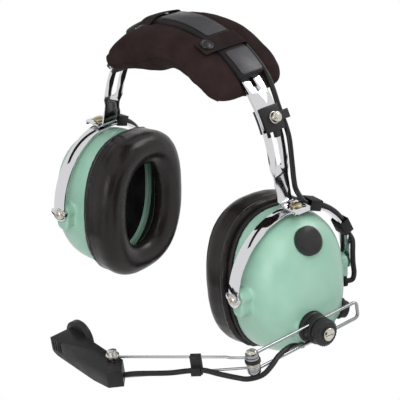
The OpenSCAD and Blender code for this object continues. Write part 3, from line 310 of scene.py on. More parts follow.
def fuller(value, power):  # squares a sine or cosine into a fuller curve
    return math.copysign(abs(value) ** (2 / power), value)


def oval(a, b, t):  # point of a cup's outline, across and up
    return a * fuller(math.cos(t), shell["plan"]), shell["middle"] + b * fuller(math.sin(t), shell["plan"])


def around(count):  # angles of one full turn
    return [2 * math.pi * j / count for j in range(count)]


def skin(name, rings):  # solid through a list of closed rings, its ends capped
    count, last = len(rings[0]), len(rings) - 1
    faces = [(low + j, low + (j + 1) % count, low + count + (j + 1) % count, low + count + j)
             for low in range(0, last * count, count) for j in range(count)]
    faces += [tuple(range(count)), tuple(last * count + j for j in range(count))]
    mesh = bpy.data.meshes.new(name)
    mesh.from_pydata([tuple(p) for ring in rings for p in ring], [], faces)
    obj = bpy.data.objects.new(name, mesh)
    bpy.context.scene.collection.objects.link(obj)
    return obj


# each hard piece: its node, finish, slot and the width of its broken edges in millimetres,
# where twins are a left and a right one
hardPieces = [
    {"node": "headband_spring", "name": "bowStrip", "twins": False,
     "finish": chromedSteel, "slot": "spring_steel", "edge": 0.25},
    {"node": "clamp_block", "name": "Clamp", "twins": True,
     "finish": blackNylon, "slot": "black_plastic", "edge": 0.5},
    {"node": "clamp_plates", "name": "clampPlates", "twins": False,
     "finish": blackNylon, "slot": "black_plastic", "edge": 0.3},
    {"node": "clamp_bolts", "name": "clampBolts", "twins": False,
     "finish": nickelSteel, "slot": "fastener_steel", "edge": 0.2},
    {"node": "clamp_nuts", "name": "clampNuts", "twins": False,
     "finish": nickelSteel, "slot": "fastener_steel", "edge": 0.2},
    {"node": "strap", "name": "Strap", "twins": True,
     "finish": chromedSteel, "slot": "spring_steel", "edge": 0.25},
    {"node": "swivel_rivet", "name": "Rivet", "twins": True,
     "finish": rivetBrass, "slot": "rivet_brass", "edge": 0.3},
    {"node": "swivel_washer", "name": "Washer", "twins": True,
     "finish": nickelSteel, "slot": "fastener_steel", "edge": 0.15},
    {"node": "stirrup", "name": "Stirrup", "twins": True,
     "finish": chromedSteel, "slot": "spring_steel", "edge": 0.3},
    {"node": "pivot_screws", "name": "Pivots", "twins": True,
     "finish": nickelSteel, "slot": "pivot_screw", "edge": 0.2},
    {"node": "cord_ties", "name": "Ties", "twins": True,
     "finish": blackRubber, "slot": "rubber_black", "edge": 0.3},
    {"node": "seal_plate", "name": "Plate", "twins": True,
     "finish": blackNylon, "slot": "black_plastic", "edge": 0.6},
    {"node": "earphone", "name": "Earphone", "twins": True,
     "finish": blackNylon, "slot": "black_plastic", "edge": 0.3},
    {"node": "cord_grommet", "name": "Grommet", "twins": True,
     "finish": blackRubber, "slot": "rubber_black", "edge": 0.3},
    {"node": "volume_pot", "name": "volumePot", "twins": False,
     "finish": nickelSteel, "slot": "pot_metal", "edge": 0.2},
    {"node": "volume_knob", "name": "volumeKnob", "twins": False,
     "finish": knobPhenolic, "slot": "black_plastic", "edge": 0.12},
    {"node": "cord_gland", "name": "cordGland", "twins": False,
     "finish": blackRubber, "slot": "rubber_black", "edge": 0.4},
    {"node": "boom_base", "name": "boomBase", "twins": False,
     "finish": blackNylon, "slot": "black_plastic", "edge": 0.3},
    {"node": "boom_stud", "name": "boomStud", "twins": False,
     "finish": nickelSteel, "slot": "fastener_steel", "edge": 0.2},
    {"node": "boom_hub", "name": "boomHub", "twins": False,
     "finish": blackNylon, "slot": "black_plastic", "edge": 0.3},
    {"node": "boom_knob", "name": "lockKnob", "twins": False,
     "finish": knobPhenolic, "slot": "black_plastic", "edge": 0.12},
    {"node": "boom_loop", "name": "innerWire", "twins": False,
     "finish": boomSteel, "slot": "boom_wire", "edge": 0.08},
    {"node": "knuckle_post", "name": "knucklePost", "twins": False,
     "finish": nickelSteel, "slot": "fastener_steel", "edge": 0.2},
    {"node": "knuckle_washers", "name": "knuckleWashers", "twins": False,
     "finish": nickelSteel, "slot": "fastener_steel", "edge": 0.1},
    {"node": "boom_wires", "name": "outerWires", "twins": False,
     "finish": boomSteel, "slot": "boom_wire", "edge": 0.08},
    {"node": "friction_ring", "name": "frictionRing", "twins": False,
     "finish": blackNylon, "slot": "black_plastic", "edge": 0.25},
    {"node": "boom_clip", "name": "boomClip", "twins": False,
     "finish": blackNylon, "slot": "black_plastic", "edge": 0.4},
    {"node": "mic_housing", "name": "micHousing", "twins": False,
     "finish": blackNylon, "slot": "black_plastic", "edge": 0.5},
    {"node": "mic_element", "name": "micElement", "twins": False,
     "finish": blackNylon, "slot": "black_plastic", "edge": 0.3},
    {"node": "mic_bolt", "name": "micBolt", "twins": False,
     "finish": nickelSteel, "slot": "fastener_steel", "edge": 0.2},
]
for spec in hardPieces:
    for side in ("left", "right") if spec["twins"] else ("",):
        dressCopy(spec, side)
print("hard pieces dressed")

# dome's surface in steps, its hollow from the rim plane, its mouth, and how finely its skin is made
domeShape = {"sweep": 88.6, "sides": 128, "steps": 44, "hollowSides": 96, "hollowSteps": 24, "wall": 2.6,
             "lip": 2.4, "mouthInset": 6.1, "mouth": (-2, 3.4), "voxel": 0.8, "quickVoxel": 1.6,
             "soften": 0.5, "calm": 9, "quickCalm": 5}
# under a pivot screw, and 1.3 clear of the stirrup
boss = {"radius": 5.9, "footRadius": 4.9, "footDown": 8.5, "rooted": 6,
        "end": stirrup["radius"] - stirrup["halfThick"] - 1.3, "webWidth": 9.8, "webHeight": 9,
        "bore": 1.95, "boreDepth": 16, "boreBack": 12}
seatOut = shell["depth"] - shell["rimIn"] - 1.2  # flat that the boom's base stands on
grommetSide = shell["halfWidth"] * 0.93
seats = {
    "volume": at((21.08, -3, 32.5), (60, "Y")),
    "boom": at((0, -5.5, -24), (90, "Y")),
    "gland": at((9, 30.6, -27), (66, "Z"), (112, "Y")),
    "grommet": at((9, grommetSide, -10), (66, "Z"), (90, "Y")),
    "micExit": at((18, -8, -38), (35, "Y"), (90, "Y")),
}
domePads = [
    {"name": "boomPad", "seat": "boom", "radius": 11.5, "depth": 9, "start": seatOut - 9, "both": False},
    {"name": "volumePad", "seat": "volume", "radius": 8.3, "depth": 5, "start": -5, "both": False},
    {"name": "glandPad", "seat": "gland", "radius": 7.4, "depth": 8.5, "start": -8, "both": False},
    {"name": "grommetPad", "seat": "grommet", "radius": 4.6, "depth": 4, "start": -3.2, "both": True},
]
domeHoles = [
    {"name": "grommetBore", "seat": "grommet", "radius": 2.7, "depth": 14, "start": -7, "both": True},
    {"name": "studBore", "seat": "boom", "radius": 2.6, "depth": 40, "start": 6, "both": False},
    {"name": "baseSeat", "seat": "boom", "radius": 10.8, "depth": 5, "start": seatOut + 0.02, "both": False},
    {"name": "volumeBore", "seat": "volume", "radius": 3.7, "depth": 14, "start": -12, "both": False},
    {"name": "glandBore", "seat": "gland", "radius": 5.9, "depth": 14, "start": -12, "both": False},
    {"name": "cordBore", "seat": "micExit", "radius": 2.1, "depth": 14, "start": -7, "both": False},
]


def domeRings(wall, start, sides, steps):  # rings of a dome's surface, drawn in by a wall
    a, b, h = shell["halfWidth"] - wall, shell["halfHeight"] - wall, shell["depth"] - wall
    rings = []
    for i in range(steps + 1):
        u = math.radians(domeShape["sweep"] * i / steps)
        k, o = fuller(math.cos(u), shell["curve"]), h * fuller(math.sin(u), shell["curve"]) - shell["rimIn"]
        rings.append([(start if i == 0 else o, *oval(a * k, b * k, t)) for t in around(sides)])
    return rings


def barrel(name, radius, depth, place, sides=48):  # round plug whose base sits at a place, along its Z
    bpy.ops.mesh.primitive_cylinder_add(vertices=sides, radius=radius, depth=depth)
    obj = bpy.context.active_object
    obj.name = name
    obj.data.transform(place @ Matrix.Translation((0, 0, depth / 2)))
    return obj


def plugs(rows, s):  # round plugs on their seats, some on the left cup alone
    return [barrel(row["name"], row["radius"], row["depth"],
                   seats[row["seat"]] @ Matrix.Translation((0, 0, row["start"])))
            for row in rows if s > 0 or row["both"]]


def bossParts(y):  # boss, its foot and the web between, at the back or the front of a dome
    facing = (-90 * y, "X")
    root = shell["halfWidth"] - boss["rooted"]
    reach = boss["end"] - root
    upper = barrel("boss", boss["radius"], reach, at((0, y * root, 0), facing))
    foot = barrel("bossFoot", boss["footRadius"], reach, at((0, y * root, -boss["footDown"]), facing))
    bpy.ops.mesh.primitive_cube_add(size=1)
    web = bpy.context.active_object
    web.data.transform(at((0, y * (root + boss["end"]) / 2, -boss["webHeight"] / 2))
                       @ Matrix.Diagonal((boss["webWidth"], reach, boss["webHeight"], 1)))
    return [upper, foot, web]


def cut(obj, tools):  # takes the tools away from a closed piece
    for tool in tools:
        modifier = obj.modifiers.new("cut", "BOOLEAN")
        modifier.object = tool
        modifier.operation = "DIFFERENCE"
        modifier.solver = "MANIFOLD"
        applyModifiers(obj)
        bpy.data.objects.remove(tool)


def joinTo(obj, others):
    bpy.ops.object.select_all(action="DESELECT")
    for other in others:
        other.select_set(True)
    obj.select_set(True)
    bpy.context.view_layer.objects.active = obj
    bpy.ops.object.join()


def dome(s):
    rim = shell["rimIn"]
    outer = skin(sideName[s] + "Dome", domeRings(0, -rim, domeShape["sides"], domeShape["steps"]))
    raised = bossParts(1) + bossParts(-1) + plugs(domePads, s)
    for piece in [outer] + raised:
        outwardFace(piece)
    joinTo(outer, raised)
    remesh = outer.modifiers.new("skin", "REMESH")  # one moulded skin, its joins blended
    remesh.mode = "VOXEL"
    remesh.voxel_size = domeShape["voxel"]
    soften = outer.modifiers.new("soften", "SMOOTH")
    soften.factor = domeShape["soften"]
    soften.iterations = domeShape["calm"]
    applyModifiers(outer)
    hollow = skin("cavity", domeRings(domeShape["wall"], domeShape["lip"] - rim,
                                      domeShape["hollowSides"], domeShape["hollowSteps"]))
    a, b = shell["halfWidth"] - domeShape["mouthInset"], shell["halfHeight"] - domeShape["mouthInset"]
    mouth = skin("mouth", [[(o - rim, *oval(a, b, t)) for t in around(domeShape["hollowSides"])]
                           for o in domeShape["mouth"]])
    bores = [barrel("pivotBore", boss["bore"], boss["boreDepth"],
                    at((0, y * (boss["end"] - boss["boreBack"]), 0), (-90 * y, "X"))) for y in (1, -1)]
    tools = [hollow, mouth] + bores + plugs(domeHoles, s)
    for tool in tools:
        outwardFace(tool)
    cut(outer, tools)
    settle(outer, cupPlace(s))
    dress(outer, domeShell, "cup_" + sideName[s], ["dome_" + sideName[s]], 40)


for s in (1, -1):
    dome(s)
print("domes shaped")

clothFeel = {"tension": 12, "bending": 0.6, "mass": 0.25, "frames": 20, "soften": 0.5}


def puff(obj, pinned, swell):  # cloth blown up from inside, its moves capped
    for vertex in obj.data.vertices:
        vertex.co -= vertex.normal * swell["inset"] * mm * (1 - pinned(vertex.co))
    remesh = obj.modifiers.new("skin", "REMESH")
    remesh.mode = "VOXEL"
    remesh.voxel_size = swell["voxel"] * mm
    applyModifiers(obj)
    rest = [v.co.copy() for v in obj.data.vertices]
    hold = obj.vertex_groups.new(name="hold")
    for vertex in obj.data.vertices:
        hold.add([vertex.index], pinned(vertex.co), "REPLACE")
    cloth = obj.modifiers.new("cloth", "CLOTH")
    cloth.settings.use_pressure = True
    cloth.settings.uniform_pressure_force = swell["pressure"]
    cloth.settings.effector_weights.gravity = 0
    cloth.settings.vertex_group_mass = "hold"
    cloth.settings.tension_stiffness = clothFeel["tension"]
    cloth.settings.bending_stiffness = clothFeel["bending"]
    cloth.settings.mass = clothFeel["mass"]
    cloth.point_cache.frame_end = clothFeel["frames"]
    scene = bpy.context.scene
    for step in range(1, clothFeel["frames"] + 1):
        scene.frame_set(step)
    applyModifiers(obj)
    scene.frame_set(1)
    cap = swell["cap"] * mm
    for vertex, start in zip(obj.data.vertices, rest):
        move = vertex.co - start
        if move.length > cap:
            vertex.co = start + move * (cap / move.length)
    select(obj)
    soften = obj.modifiers.new("soften", "SMOOTH")
    soften.factor = clothFeel["soften"]
    soften.iterations = swell["calm"]
    refine(obj, 1)


def dent(obj, depthAt):  # moves each point inward by a depth in millimetres
    normals = [v.normal.copy() for v in obj.data.vertices]
    for vertex, normal in zip(obj.data.vertices, normals):
        vertex.co -= normal * depthAt(vertex.co / mm) * mm


def ramp(value, low, high):  # eased step from 0 to 1
    share = min(1.0, max(0.0, (value - low) / (high - low)))
    return share * share * (3 - 2 * share)


def ridge(value, middle, width):  # 1 at the middle, falling off over a width
    return math.exp(-((value - middle) / width) ** 2)


# seal: where its base is held, its bonded edge and the waves in its skin, from the rim plane
sealShape = {"held": (-8, -4.5), "grooveAt": -7.0, "grooveWidth": 0.9, "grooveDepth": 0.5,
             "waveDepth": 0.25, "waveRate": 0.045, "waveSeed": 3.1,
             "inset": 0.4, "voxel": 2.2, "quickVoxel": 2.2, "cap": 1.0, "pressure": 1.2, "calm": 1}


def earSeal(s):
    name, rim = sideName[s], shell["rimIn"]
    seal = copyOf("ear_seal_" + name, name + "EarSeal", False)
    back = cupPlace(s).inverted()

    def sealHold(p):
        return ramp((back @ (p / mm)).x, *(h - rim for h in sealShape["held"]))

    def sealMarks(p):
        groove = ridge((back @ p).x, sealShape["grooveAt"] - rim, sealShape["grooveWidth"])
        wave = noise.noise(p * sealShape["waveRate"] + Vector((sealShape["waveSeed"], 0, s)))
        return groove * sealShape["grooveDepth"] + sealShape["waveDepth"] * wave

    puff(seal, sealHold, sealShape)
    dent(seal, sealMarks)
    dress(seal, sealVinyl, "cup_" + name, ["ear_seal_" + name], 180)


# foam: how far in from the dome's outline, then height over the rim plane and share of its width
foamShape = {"inset": 4.6, "sides": 72,
             "profile": [(2.5, 0.97), (2.6, 1.0), (3.9, 1.0), (4.1, 0.97), (4.3, 0.6), (4.3, 0.2)]}


def foamLiner(s):
    a, b = shell["halfWidth"] - foamShape["inset"], shell["halfHeight"] - foamShape["inset"]
    rings = [[(h - shell["rimIn"], *oval(a * k, b * k, t)) for t in around(foamShape["sides"])]
             for h, k in foamShape["profile"]]
    foam = skin(sideName[s] + "Foam", rings)
    settle(foam, cupPlace(s))
    dress(foam, earFoam, "cup_" + sideName[s], ["foam_liner_" + sideName[s]], 50)


for s in (1, -1):
    earSeal(s)
    foamLiner(s)
print("ear seals puffed")


def polar(p):  # radius and angle from the crown, in the bow's plane
    return math.hypot(p.x, p.z - bow["centre"]), math.degrees(math.atan2(p.x, p.z - bow["centre"]))


def bowPoint(radius, angle, y):  # angle from the crown, positive to the left
    return (radius * math.sin(math.radians(angle)), y, bow["centre"] + radius * math.cos(math.radians(angle)))


def strip(name, section, low, high, steps):  # section of (y, radius) swept along the bow
    angles = [low + (high - low) * i / steps for i in range(steps + 1)]
    obj = skin(name, [[bowPoint(r, angle, y) for y, r in section(angle)] for angle in angles])
    settle(obj)
    return obj


def box(half, floor, top):  # section of a plain slot
    return lambda angle: [(-half, floor), (half, floor), (half, top), (-half, top)]


# pad: parts held still, how it swells, its bound seam, its creases as depth and rates round, across and out,
# the far end of its front lobe, which is drawn in towards the top, and the slot that the bow passes through
padShape = {
    "holdRadius": (74, 78), "holdFront": (12.5, 16.0), "holdRear": (17.0, 20.0),
    "inset": 1.1, "voxel": 3.8, "quickVoxel": 5, "cap": 4.0, "pressure": 2.6, "calm": 4,
    "seamRadius": 77.5, "seamWidth": 0.9, "seamDepth": 0.9, "seamSide": (24, 30),
    "creases": [(0.9, (0.055, 0.035, 0.05), 4.2), (0.28, (0.22, 0.09, 0.1), 0)],
    "endAngle": (38, 52), "endSide": (2, 12), "endLift": 1.6, "endLiftRadius": (70, 78),
    "endTurn": (1.2, 3.6), "endTurnRadius": (66, 79),
    "slotHalf": 11.4, "slotFloor": 78.4, "slotTop": 100, "slotAngle": 60,
}


def padHold(p):  # the channel's floor and walls stay put
    y = p.y / mm
    wall = 1 - ramp(abs(y), *padShape["holdRear" if y > 0 else "holdFront"])
    return wall * ramp(polar(p / mm)[0], *padShape["holdRadius"])


def padMarks(p):  # bound seam round each lobe and slack creases
    radius, angle = polar(p)
    seam = ridge(radius, padShape["seamRadius"], padShape["seamWidth"])
    marked = seam * ramp(abs(p.y), *padShape["seamSide"]) * padShape["seamDepth"]
    for depth, (turned, across, out), seed in padShape["creases"]:
        marked += depth * noise.noise(Vector((angle * turned, p.y * across, radius * out + seed)))
    return marked * (1 - padHold(p * mm))


def drawInEnd(p):  # a point of the pad, in millimetres, with the front lobe's far end cut back
    radius, angle = polar(p)
    share = ramp(-angle, *padShape["endAngle"]) * ramp(-p.y, *padShape["endSide"])
    lift = padShape["endLift"] * share * ramp(radius, *padShape["endLiftRadius"])
    least, more = padShape["endTurn"]
    turned = share * (least + more * ramp(radius, *padShape["endTurnRadius"]))
    return bowPoint(radius + lift, angle + turned, p.y)


pad = copyOf("headpad", "headPad", False)
puff(pad, padHold, padShape)
dent(pad, padMarks)
for vertex in pad.data.vertices:
    vertex.co = Vector(drawInEnd(vertex.co / mm)) * mm

# panel seam: radius it runs at, where along a lobe it ends, rise of the front one by share of its length
seamShape = {"angles": range(-49, 45, 2), "ends": (52.0, 46.0), "radius": 69.5, "outside": 60.0,
             "rearRise": 3.0, "clear": 0.1,
             "frontRise": [(-1, 2), (-0.8, -1), (-0.6, -4), (-0.38, -6), (-0.2, -3.5), (0, 0), (0.2, 3.5),
                           (0.5, 5), (1, 5)],
             "thickness": 0.55, "sides": 8, "steps": 3}


def tableAt(table, value):  # straight lines between a table's points
    for (a, low), (b, high) in zip(table, table[1:]):
        if value <= b:
            return low + (high - low) * (value - a) / (b - a)
    return table[-1][1]


def seamRoute(side):  # line of the panels' seam, laid on the finished pad
    route = []
    for angle in seamShape["angles"]:
        share = angle / seamShape["ends"][0 if angle < 0 else 1]
        rise = tableAt(seamShape["frontRise"], share) if side < 0 else seamShape["rearRise"]
        start = Vector(bowPoint(seamShape["radius"] + rise, angle, side * seamShape["outside"])) * mm
        hit, spot, normal, _ = pad.ray_cast(start, Vector((0, -side, 0)))
        if hit:
            route.append(spot / mm + normal * seamShape["clear"])
    return route


seamRoutes = {"front": seamRoute(-1), "rear": seamRoute(1)}
cut(pad, [strip("channel", box(padShape["slotHalf"], padShape["slotFloor"], padShape["slotTop"]),
                -padShape["slotAngle"], padShape["slotAngle"], 60)])
dress(pad, padCloth, "headband", ["headpad"], 70)

# sleeve: tube round the bow, full between its sewn ends; the corner is in from the side and up from the top
sleeveShape = {"floor": 78.7, "top": 88.8, "half": 11.0, "end": 40, "steps": 64,
               "swell": 0.35, "swellRate": 9, "swellDown": 0.1, "swellOut": 0.15,
               "sewnFrom": 38.6, "sewnDrop": 0.5, "sewnIn": 0.4,
               "corner": [(3.0, -0.1), (0.9, -1.0), (0, -3.2)], "crown": 0.35, "crownShare": 0.4,
               "belly": 0.25, "bellyRadius": 83, "foot": 0.6, "footIn": 0.8,
               "boreHalf": 8.3, "boreFloor": 80.0, "boreOver": 0.3, "boreEnd": 41}


def sleeveSection(angle):
    full = sleeveShape["swell"] * (1 - math.cos(math.radians(angle * sleeveShape["swellRate"])))
    sewn = ramp(abs(angle), sleeveShape["sewnFrom"], sleeveShape["end"])
    top = sleeveShape["top"] - sleeveShape["swellDown"] * full - sleeveShape["sewnDrop"] * sewn
    half = sleeveShape["half"] + sleeveShape["swellOut"] * full - sleeveShape["sewnIn"] * sewn
    floor = sleeveShape["floor"]
    right = [(half * sleeveShape["crownShare"], top + sleeveShape["crown"])]
    right += [(half - inward, top + up) for inward, up in sleeveShape["corner"]]
    right += [(half + sleeveShape["belly"], sleeveShape["bellyRadius"]), (half, floor + sleeveShape["foot"])]
    left = [(-y, r) for y, r in reversed(right)]
    return left + right + [(half - sleeveShape["footIn"], floor), (-half + sleeveShape["footIn"], floor)]


sleeve = strip("padSleeve", sleeveSection, -sleeveShape["end"], sleeveShape["end"], sleeveShape["steps"])
boreSection = box(sleeveShape["boreHalf"], sleeveShape["boreFloor"], bow["radius"] + sleeveShape["boreOver"])
bore = strip("sleeveBore", boreSection, -sleeveShape["boreEnd"], sleeveShape["boreEnd"], sleeveShape["steps"])
refine(sleeve, 1)
cut(sleeve, [bore])
dress(sleeve, sleeveSkin, "headband", ["pad_sleeve"], 40)

# label windows, bare: angles along the bow, then the pane's edges, corners and how far it stands out
windows = [{"name": "crownWindow", "low": -14.0, "high": 15.0},
           {"name": "leftWindow", "low": 26.4, "high": 38.9}]
paneShape = {"front": -9.4, "back": 8.6, "corner": 1.4, "cornerAngle": 1.1, "sunk": 0.5, "edge": 0.42,
             "face": 0.52, "edgeIn": 0.35, "steps": 30}


def windowPane(window):
    low, high, top = window["low"], window["high"], sleeveShape["top"]

    def paneSection(angle):
        near = min(1.0, min(angle - low, high - angle) / paneShape["cornerAngle"])
        inset = paneShape["corner"] * (1 - math.sqrt(max(0.0, 1 - (1 - near) ** 2)))
        a, b, bevelled = paneShape["front"] + inset, paneShape["back"] - inset, paneShape["edgeIn"]
        under, edge, face = top - paneShape["sunk"], top + paneShape["edge"], top + paneShape["face"]
        return [(a, under), (a, edge), (a + bevelled, face), (b - bevelled, face), (b, edge), (b, under)]

    pane = strip(window["name"], paneSection, low, high, paneShape["steps"])
    dress(pane, paneVinyl, "headband", (), 30)


for window in windows:
    windowPane(window)

# tabs: angles along the bow, fall of each one's front end, path as side, radius and share of that fall,
# and section as share of the width and height off the path
tabShape = {
    "low": 16.5, "high": 25.0, "fall": {1: 0.0, -1: 6.5},
    "path": [(12.4, 84.5, 0), (12.3, 87.0, 0), (11.6, 88.7, 0), (9.5, 89.4, 0), (0, 89.6, 0), (-9.0, 89.6, 0),
             (-13.5, 89.5, 0.45), (-18.5, 89.5, 0.8), (-22.4, 89.2, 1), (-24.0, 88.7, 1)],
    "section": [(0, 0.1), (0, 0.8), (0.05, 1.05), (0.14, 0.9), (0.5, 0.9), (0.86, 0.9), (0.95, 1.05),
                (1, 0.8), (1, 0.1)],
}


def tab(s):  # bound cloth tab from the sleeve's far side over to its snap on the front lobe
    track = [(y, r - tabShape["fall"][s] * share) for y, r, share in tabShape["path"]]
    low, width = tabShape["low"], tabShape["high"] - tabShape["low"]
    rings = []
    for i, (y, r) in enumerate(track):
        before, after = track[max(i - 1, 0)], track[min(i + 1, len(track) - 1)]
        dy, dr = after[0] - before[0], after[1] - before[1]
        size = math.hypot(dy, dr)
        ny, nr = dr / size, -dy / size
        rings.append([bowPoint(r + nr * lift, s * (low + width * share), y + ny * lift)
                      for share, lift in tabShape["section"]])
    obj = skin(sideName[s] + "Tab", rings)
    settle(obj)
    refine(obj, 2)
    dress(obj, tabWeb, "headband", ["pad_tabs"], 60)


# snap: cap of a press stud, its place over the bow, and profile as radius and height
snapShape = {"angle": 20.75, "radius": 90.62, "side": -18, "fall": {1: 0.0, -1: 5.6},
             "tilt": {1: 0.0, -1: 10.0}, "sides": 40,
             "profile": [(0.3, 0.0), (4.4, 0.0), (4.45, 0.35), (4.2, 0.85), (3.7, 1.05), (3.3, 0.95),
                         (3.0, 0.7), (2.6, 0.75), (1.9, 1.15), (1.0, 1.4), (0.25, 1.45)]}


def snap(s):
    rings = [[(r * math.cos(t), r * math.sin(t), h) for t in around(snapShape["sides"])]
             for r, h in snapShape["profile"]]
    obj = skin(sideName[s] + "Snap", rings)
    angle = s * snapShape["angle"]
    middle = bowPoint(snapShape["radius"] - snapShape["fall"][s], angle, snapShape["side"])
    settle(obj, at(middle, (angle, "Y"), (snapShape["tilt"][s], "X")))
    dress(obj, darkSteel, "headband", ["pad_snaps"], 30)


for s in (1, -1):
    tab(s)
    snap(s)
print("head pad shaped")

cordShape = {"radius": 1.75, "sides": 14, "steps": 6}


def smoothRoute(points, steps=cordShape["steps"]):  # curve through given points
    points = [Vector(p) for p in points]
    last = len(points) - 1
    route = []
    for i in range(last):
        a, b, c, d = points[max(i - 1, 0)], points[i], points[i + 1], points[min(i + 2, last)]
        for u in (j / steps for j in range(steps)):
            route.append(0.5 * (2 * b + (c - a) * u + (2 * a - 5 * b + 4 * c - d) * u * u
                                + (3 * b - a - 3 * c + d) * u ** 3))
    return route + [points[-1]]


def tube(name, route, radius, sides):  # round cord along a route, its ends capped
    aside = (route[1] - route[0]).normalized().orthogonal().normalized()
    last = len(route) - 1
    rings = []
    for i, point in enumerate(route):
        ahead = (route[min(i + 1, last)] - route[max(i - 1, 0)]).normalized()
        aside = (aside - ahead * aside.dot(ahead)).normalized()
        up = ahead.cross(aside)
        rings.append([point + radius * (math.cos(t) * aside + math.sin(t) * up) for t in around(sides)])
    obj = skin(name, rings)
    settle(obj)
    return obj


def heldCord(name, route, stands, body=None, across=None, ends=None):  # rides one body or bends between two
    obj = tube(name, route, cordShape["radius"], cordShape["sides"])
    dress(obj, cordPvc, body, stands, 60)
    if across:
        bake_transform(obj, across[0], across[1], tuple(Vector(ends[0]) * mm), tuple(Vector(ends[1]) * mm))


def overBow(angle, radius, y, s):  # angle up from the bow's side
    a = math.radians(angle)
    return (s * radius * math.cos(a), y, bow["centre"] + radius * math.sin(a))


armRadius = stirrup["radius"] + cordShape["radius"] + 0.2  # middle of a cord that lies on the stirrup


def onArm(angle, lift, out, s):  # angle up the stirrup's rear arm
    a, radius = math.radians(angle), armRadius + lift
    return stirrupPlace(s) @ Vector((out, radius * math.cos(a), stirrup["lift"] + radius * math.sin(a)))


# cord over the bow, one half: angle up from the side, height over the bow, side of the bow
bridgeCord = [(29.5, -0.6, 10.55), (35, -0.6, 10.75), (42, 0, 12), (50, 1, 13.15), (62, 1.4, 13.15),
              (76, 1.4, 13.15)]
# cord down a strap: over the bow as above, beside the strap as out, side and up, on the arm as angle, lift
# and out; its parts meet at a step of the route and bend between the held steps
strapCord = {"overBow": [(30.5, -0.6, 10.55), (28.5, -0.6, 10.55), (25, -0.2, 10.55), (19, 1.4, 9.3),
                         (8, 1.7, 8.2)],
             "besideStrap": [(4.6, 7.9, 1), (5.6, 9.3, -6)], "onArm": [(79.5, 0.8, 0.6), (74, 0.2, 0.9)],
             "parting": 26, "topHeld": (4, 24), "lowHeld": (29, -3)}
armCord = [(74, 0.2, 0.9), (66, 0.1, 1.2), (50, 0, 1.6), (36, 0.1, 2), (22, 0.1, 2.6)]
# cord from the arm to the grommet, in the cup's frame: off the arm, in the air, then into the grommet
cupCord = {"offArm": (3.8, 0.2, 19.2),
           "hanging": [(6.4, 48, 15.8), (8.2, 46.9, 12.4), (9.8, 45.2, 8), (11.4, 43.8, 2), (12.6, 43.4, -5),
                       (12.2, 42.1, -9.3)],
           "grommet": [(10.7, 3.9, -10), (9.6, 1.6, -10)], "held": (1, 30)}


def sideCords(s):
    name = sideName[s]
    route = [overBow(a, bow["radius"] + lift, y, s) for a, lift, y in strapCord["overBow"]]
    route += [(s * (bow["strapRadius"] + out), y, bow["centre"] + up)
              for out, y, up in strapCord["besideStrap"]]
    route = smoothRoute(route + [onArm(a, lift, out, s) for a, lift, out in strapCord["onArm"]])
    parting, (topA, topB), (lowA, lowB) = strapCord["parting"], strapCord["topHeld"], strapCord["lowHeld"]
    heldCord(name + "StrapCordTop", route[:parting + 1], ["cord_strap_" + name], None,
             ("headband", "strap_" + name), (route[topA], route[topB]))
    heldCord(name + "StrapCordLow", route[parting:], ["cord_strap_" + name], None,
             ("strap_" + name, "stirrup_" + name), (route[lowA], route[lowB]))
    arm = [onArm(a, lift, out, s) for a, lift, out in armCord]
    heldCord(name + "ArmCord", smoothRoute(arm), ["cord_stirrup_" + name], "stirrup_" + name)
    out, lift, angle = cupCord["offArm"]
    up = math.radians(angle)
    local = [(out, lift + armRadius * math.cos(up), stirrup["lift"] + armRadius * math.sin(up))]
    local += cupCord["hanging"] + [(o, grommetSide + y, z) for o, y, z in cupCord["grommet"]]
    low = smoothRoute([arm[-1]] + [cupPlace(s) @ Vector(p) for p in local])
    first, last = cupCord["held"]
    heldCord(name + "CupCord", low, ["cord_cup_" + name], None, ("stirrup_" + name, "cup_" + name),
             (low[first], low[last]))


over = [[overBow(a, bow["radius"] + lift, y, s) for a, lift, y in bridgeCord] for s in (1, -1)]
heldCord("bridgeCord", smoothRoute(over[0] + over[1][::-1]), ["cord_bridge"], "headband")
for s in (1, -1):
    sideCords(s)

# boom at rest, from the cup: its hub, the inner wire's length and dip, the outer wires' swing and length
boom = {"out": 31.7, "fore": 5.5, "down": 24.0, "reach": 54.0, "dip": 6.0, "swing": -49.0, "outer": 90.0,
        "micTurn": 40.0, "clip": -36.4, "cordHole": (1.2, 11), "cordWay": (-0.753, 0.657), "cordHeight": -1.5}
knucklePlace = cupPlace(1) @ at((boom["out"], -boom["fore"], -boom["down"]), (boom["dip"], "X")) \
    @ Matrix.Translation((0, -boom["reach"], 0))
outerPlace = knucklePlace @ turn(boom["swing"], "Z")
tipFore = -boom["fore"] - boom["reach"] * math.cos(math.radians(boom["dip"]))
tipDown = -boom["down"] - boom["reach"] * math.sin(math.radians(boom["dip"]))


def atMic(d):  # so many millimetres from the microphone's cord hole
    x, y = (hole + d * way for hole, way in zip(boom["cordHole"], boom["cordWay"]))
    c, s = math.cos(math.radians(boom["micTurn"])), math.sin(math.radians(boom["micTurn"]))
    return x * c + y * s, y * c - x * s - boom["outer"], boom["cordHeight"]


innerRun = [(16, -8, -36.6), (19.8, -8.8, -37.8), (23.6, -14, -35.4),
            (boom["out"] - 3.5, -boom["fore"] - 20, -boom["down"] - 6.5),
            (boom["out"] + 0.4, -boom["fore"] - 33, tipDown - 1.8),
            (boom["out"] + 3.8, tipFore + 12, tipDown - 4.6), (boom["out"] + 5.2, tipFore + 3, tipDown - 7.8)]
outerRun = [(4.4, -3.5, -9.2), (4, -11, -8.2), (3.3, -22, -5.6), (3, boom["clip"] + 5, -2.8),
            (3, boom["clip"] - 5, -2.8), (4.4, boom["clip"] - 18, -3.1), atMic(8), atMic(0.3)]
micRoute = smoothRoute([cupPlace(1) @ Vector(p) for p in innerRun]
                       + [outerPlace @ Vector(p) for p in outerRun])
micEnd = len(micRoute) - 1
